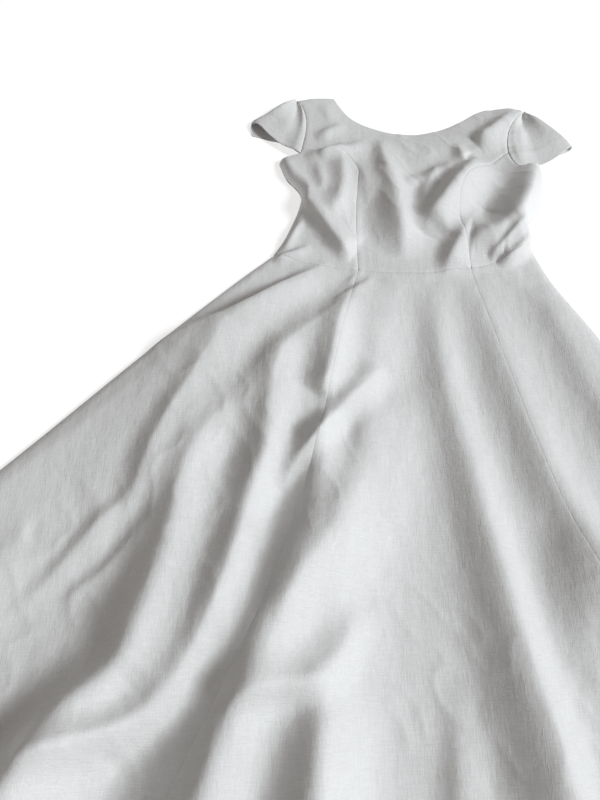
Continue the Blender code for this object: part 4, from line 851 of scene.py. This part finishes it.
# Outer points of one section, from the armhole round the folded edge and back under
def sleeveSection(shape, start, end, down):
    radius = alongRows(shape["foldRadius"], down)
    along = (end - start) / np.linalg.norm(end - start)
    flat = np.linalg.norm(end - start) - radius
    share = rimmed(sleeveMake["columns"], max(flat, sleeveMake["leastWidth"]))
    seam = frontTop(start[None])[0] + sleeveMake["seamDepth"]
    puffPlace = min(down + sleeveMake["puffStart"], sleeveMake["puffEnd"])
    puff = alongRows(shape["rise"], share) * math.sin(math.pi * puffPlace)
    front = (1 - share) * seam + share * 2 * radius + puff
    freeing, least = sleeveMake["seamHold"]
    front += gatherHeight(shape, down, share) * np.clip(freeing * share, least, 1)
    front -= sleeveMake["seamDepth"] * np.clip(1 - share * flat / cloth["seamWidth"], 0, 1) ** 2
    plan = start + share[:, None] * flat * along
    frontBow = down**2 * alongRows(shape["frontHem"], share)
    backBow = down**2 * alongRows(shape["backHem"], share)
    frontPlan = plan + np.outer(frontBow, (0, 1))
    backPlan = plan + np.outer(backBow, (0, 1))
    section = [(*p, z) for p, z in zip(frontPlan, front)]
    for turn in range(1, sleeveMake["turns"]):
        angle = math.pi * (0.5 - turn / sleeveMake["turns"])
        out = plan[-1] + radius * math.cos(angle) * along
        out[1] += frontBow[-1] + (backBow[-1] - frontBow[-1]) * turn / sleeveMake["turns"]
        section.append((*out, radius + radius * math.sin(angle)))
    section.extend((*p, sleeveMake["backHeight"]) for p in backPlan[::-1])
    return section


def buildSleeves():
    for name, shape in sleeves.items():
        armhole = sleeveArmhole(shape)
        fold = smoothCurve(shape["fold"], len(armhole))
        points = []
        for row, (start, end) in enumerate(zip(armhole, fold)):
            points.extend(sleeveSection(shape, start, end, row / (len(fold) - 1)))
        wide = len(points) // len(armhole)
        faces = gridFaces(wide - 1, len(armhole) - 1)
        if shape["fold"][0][0] < 0:
            faces = [face[::-1] for face in faces]
        piece = addCloth(name, points, faces)
        dressPiece(piece, name, sleeveMake["cut"], shape["area"], ["bodice_back", "floor"])
        print("cloth", name, len(points), "points")


# White linen: colours, and the pitch and depth of what is woven in
linenLook = {
    "colour": (0.80, 0.80, 0.80, 1.0),
    "slubColour": (0.72, 0.715, 0.71, 1.0),
    "slubRange": (0.75, 1.35),     # from slub to plain, in the noise
    "roughness": 0.88,
    "specular": 0.25,
    "sheen": 0.12,
    "sheenRoughness": 0.5,
    "threadsPerMetre": 1500,
    "slubLength": 0.016,
    "slubWidth": 0.0011,
    "threadDepth": 0.00013,
    "slubDepth": 0.00030,
    "crinkleDepth": 0.0014,
    "crinkleScale": (60, 26, 60),
}


def buildLinen(look):
    material = bpy.data.materials.new("linen")
    material.use_nodes = True
    tree = material.node_tree
    nodes = tree.nodes
    link = tree.links.new
    shader = nodes["Principled BSDF"]
    shader.inputs["Roughness"].default_value = look["roughness"]
    shader.inputs["Sheen Weight"].default_value = look["sheen"]
    shader.inputs["Sheen Roughness"].default_value = look["sheenRoughness"]
    shader.inputs["Specular IOR Level"].default_value = look["specular"]
    place = nodes.new("ShaderNodeTexCoord")

    def stretched(scale, detail):
        mapping = nodes.new("ShaderNodeMapping")
        mapping.inputs["Scale"].default_value = scale
        link(place.outputs["Object"], mapping.inputs["Vector"])
        texture = nodes.new("ShaderNodeTexNoise")
        texture.inputs["Scale"].default_value = 1.0
        texture.inputs["Detail"].default_value = detail
        link(mapping.outputs["Vector"], texture.inputs["Vector"])
        return texture.outputs["Fac"]

    def bump(height, distance, before=None):
        node = nodes.new("ShaderNodeBump")
        node.inputs["Distance"].default_value = distance
        node.inputs["Strength"].default_value = 1.0
        link(height, node.inputs["Height"])
        if before:
            link(before, node.inputs["Normal"])
        return node.outputs["Normal"]

    def added(first, second):
        node = nodes.new("ShaderNodeMath")
        node.operation = "ADD"
        link(first, node.inputs[0])
        link(second, node.inputs[1])
        return node.outputs["Value"]

    across = 1 / look["slubWidth"]
    lengthwise = 1 / look["slubLength"]
    warp = stretched((across, lengthwise, across), 2.0)       # slubs that run towards the hem
    weft = stretched((lengthwise, across, lengthwise), 2.0)   # and across it
    slubs = added(warp, weft)
    thread = look["threadsPerMetre"] / 2
    ends = stretched((thread, thread / 6, thread), 1.0)
    picks = stretched((thread / 6, thread, thread / 6), 1.0)
    threads = added(ends, picks)
    crinkles = stretched(look["crinkleScale"], 3.0)
    normal = bump(crinkles, look["crinkleDepth"])
    normal = bump(slubs, look["slubDepth"], normal)
    normal = bump(threads, look["threadDepth"], normal)
    link(normal, shader.inputs["Normal"])

    shade = nodes.new("ShaderNodeMapRange")
    shade.inputs["From Min"].default_value = look["slubRange"][0]
    shade.inputs["From Max"].default_value = look["slubRange"][1]
    link(slubs, shade.inputs["Value"])
    tint = nodes.new("ShaderNodeMix")
    tint.data_type = "RGBA"
    tint.inputs["A"].default_value = look["slubColour"]
    tint.inputs["B"].default_value = look["colour"]
    link(shade.outputs["Result"], tint.inputs["Factor"])
    link(tint.outputs["Result"], shader.inputs["Base Color"])
    print("material", material.name)
    return material


# The floor, the light and the camera, which stands at the foot of the dress and looks down on it
stage = {
    "floorReach": 4,
    "floorDrop": 0.0003,       # how far the floor lies under the dress
    "floorColour": (0.55, 0.55, 0.55, 1.0),
    "floorRoughness": 0.95,
    "floorSpecular": 0.1,
    "floorGlow": 0.66,
    "worldColour": (1.07, 1.0, 0.935, 1.0),
    "worldStrength": 0.21,
    "keyPower": 1530,
    "keyColour": (0.955, 1.0, 1.035),
    "keyPlace": (9.90, -3.00, 8.13),
    "keyTarget": (-0.10, -0.25, 0.0),
    "keySize": 3.75,
    "cameraPlace": (-0.165, -0.615, 0.748),
    "cameraPitch": 26.6,
    "lens": 27.7,
    "sensor": 36,
    "nearest": 0.01,           # nothing nearer to the camera shows
}


def buildStage():
    reach = stage["floorReach"]
    corners = [(-reach, -reach), (reach, -reach), (reach, reach), (-reach, reach)]
    floor = bpy.data.meshes.new("floor")
    floor.from_pydata([(*corner, -stage["floorDrop"]) for corner in corners], [], [(0, 1, 2, 3)])
    paper = bpy.data.materials.new("paleFloor")
    paper.use_nodes = True
    shader = paper.node_tree.nodes["Principled BSDF"]
    shader.inputs["Base Color"].default_value = stage["floorColour"]
    shader.inputs["Roughness"].default_value = stage["floorRoughness"]
    shader.inputs["Specular IOR Level"].default_value = stage["floorSpecular"]
    shader.inputs["Emission Color"].default_value = (1, 1, 1, 1)
    shader.inputs["Emission Strength"].default_value = stage["floorGlow"]
    floor.materials.append(paper)
    ground = bpy.data.objects.new("floor", floor)
    bpy.context.scene.collection.objects.link(ground)

    world = bpy.data.worlds.new("studio")
    world.use_nodes = True
    world.node_tree.nodes["Background"].inputs["Color"].default_value = stage["worldColour"]
    world.node_tree.nodes["Background"].inputs["Strength"].default_value = stage["worldStrength"]
    bpy.context.scene.world = world
    bpy.context.scene.view_settings.view_transform = "Standard"

    light = bpy.data.lights.new("key", "AREA")
    light.energy = stage["keyPower"]
    light.color = stage["keyColour"]
    light.size = stage["keySize"]
    key = bpy.data.objects.new("key", light)
    key.location = stage["keyPlace"]
    aim = Vector(stage["keyTarget"]) - Vector(stage["keyPlace"])
    key.rotation_euler = aim.to_track_quat("-Z", "Y").to_euler()
    bpy.context.scene.collection.objects.link(key)

    lens = bpy.data.cameras.new("camera")
    lens.lens = stage["lens"]
    lens.sensor_width = stage["sensor"]
    lens.clip_start = stage["nearest"]
    camera = bpy.data.objects.new("camera", lens)
    camera.location = stage["cameraPlace"]
    camera.rotation_euler = (math.radians(stage["cameraPitch"]), 0, 0)
    bpy.context.scene.collection.objects.link(camera)
    bpy.context.scene.camera = camera
    print("stage: floor, key light and camera")


# The hem from the left side to the right
hemAcross = np.linspace(0, 1, curveSamples["usual"])[:, None]
hemLine = np.vstack([skirtRow(panel, 1, hemAcross)[:-1] for panel in skirtPanels] + [[skirtRightSide[-1]]])

# Every seam, how deep it sinks, and how far its turned allowances stand proud
seams = [
    {"line": skirtLeftSeam, "depth": 0.00035, "bulge": 0.00030},
    {"line": skirtRightSeam, "depth": 0.00025, "bulge": 0.00010},
    {"line": leftPrincess, "depth": 0.0007, "bulge": 0.00035},
    {"line": rightPrincess, "depth": 0.0006, "bulge": 0.00030},
    {"line": waistCurve()[::curveSamples["waistSeamStep"]], "depth": 0.0006, "bulge": 0.00055},
    {"line": leftArmholeUpper + leftArmholeLower[1:], "depth": 0.0013, "bulge": 0.0004},
    {"line": rightArmholeUpper + rightArmholeLower[1:], "depth": 0.0010, "bulge": 0.0004},
]
finishedEdges = [neckline, leftUnderarm, rightUnderarm]

buildStage()
linen = buildLinen(linenLook)
buildSkirtFront()
buildBodiceFront()
buildBacks()
buildSleeves()
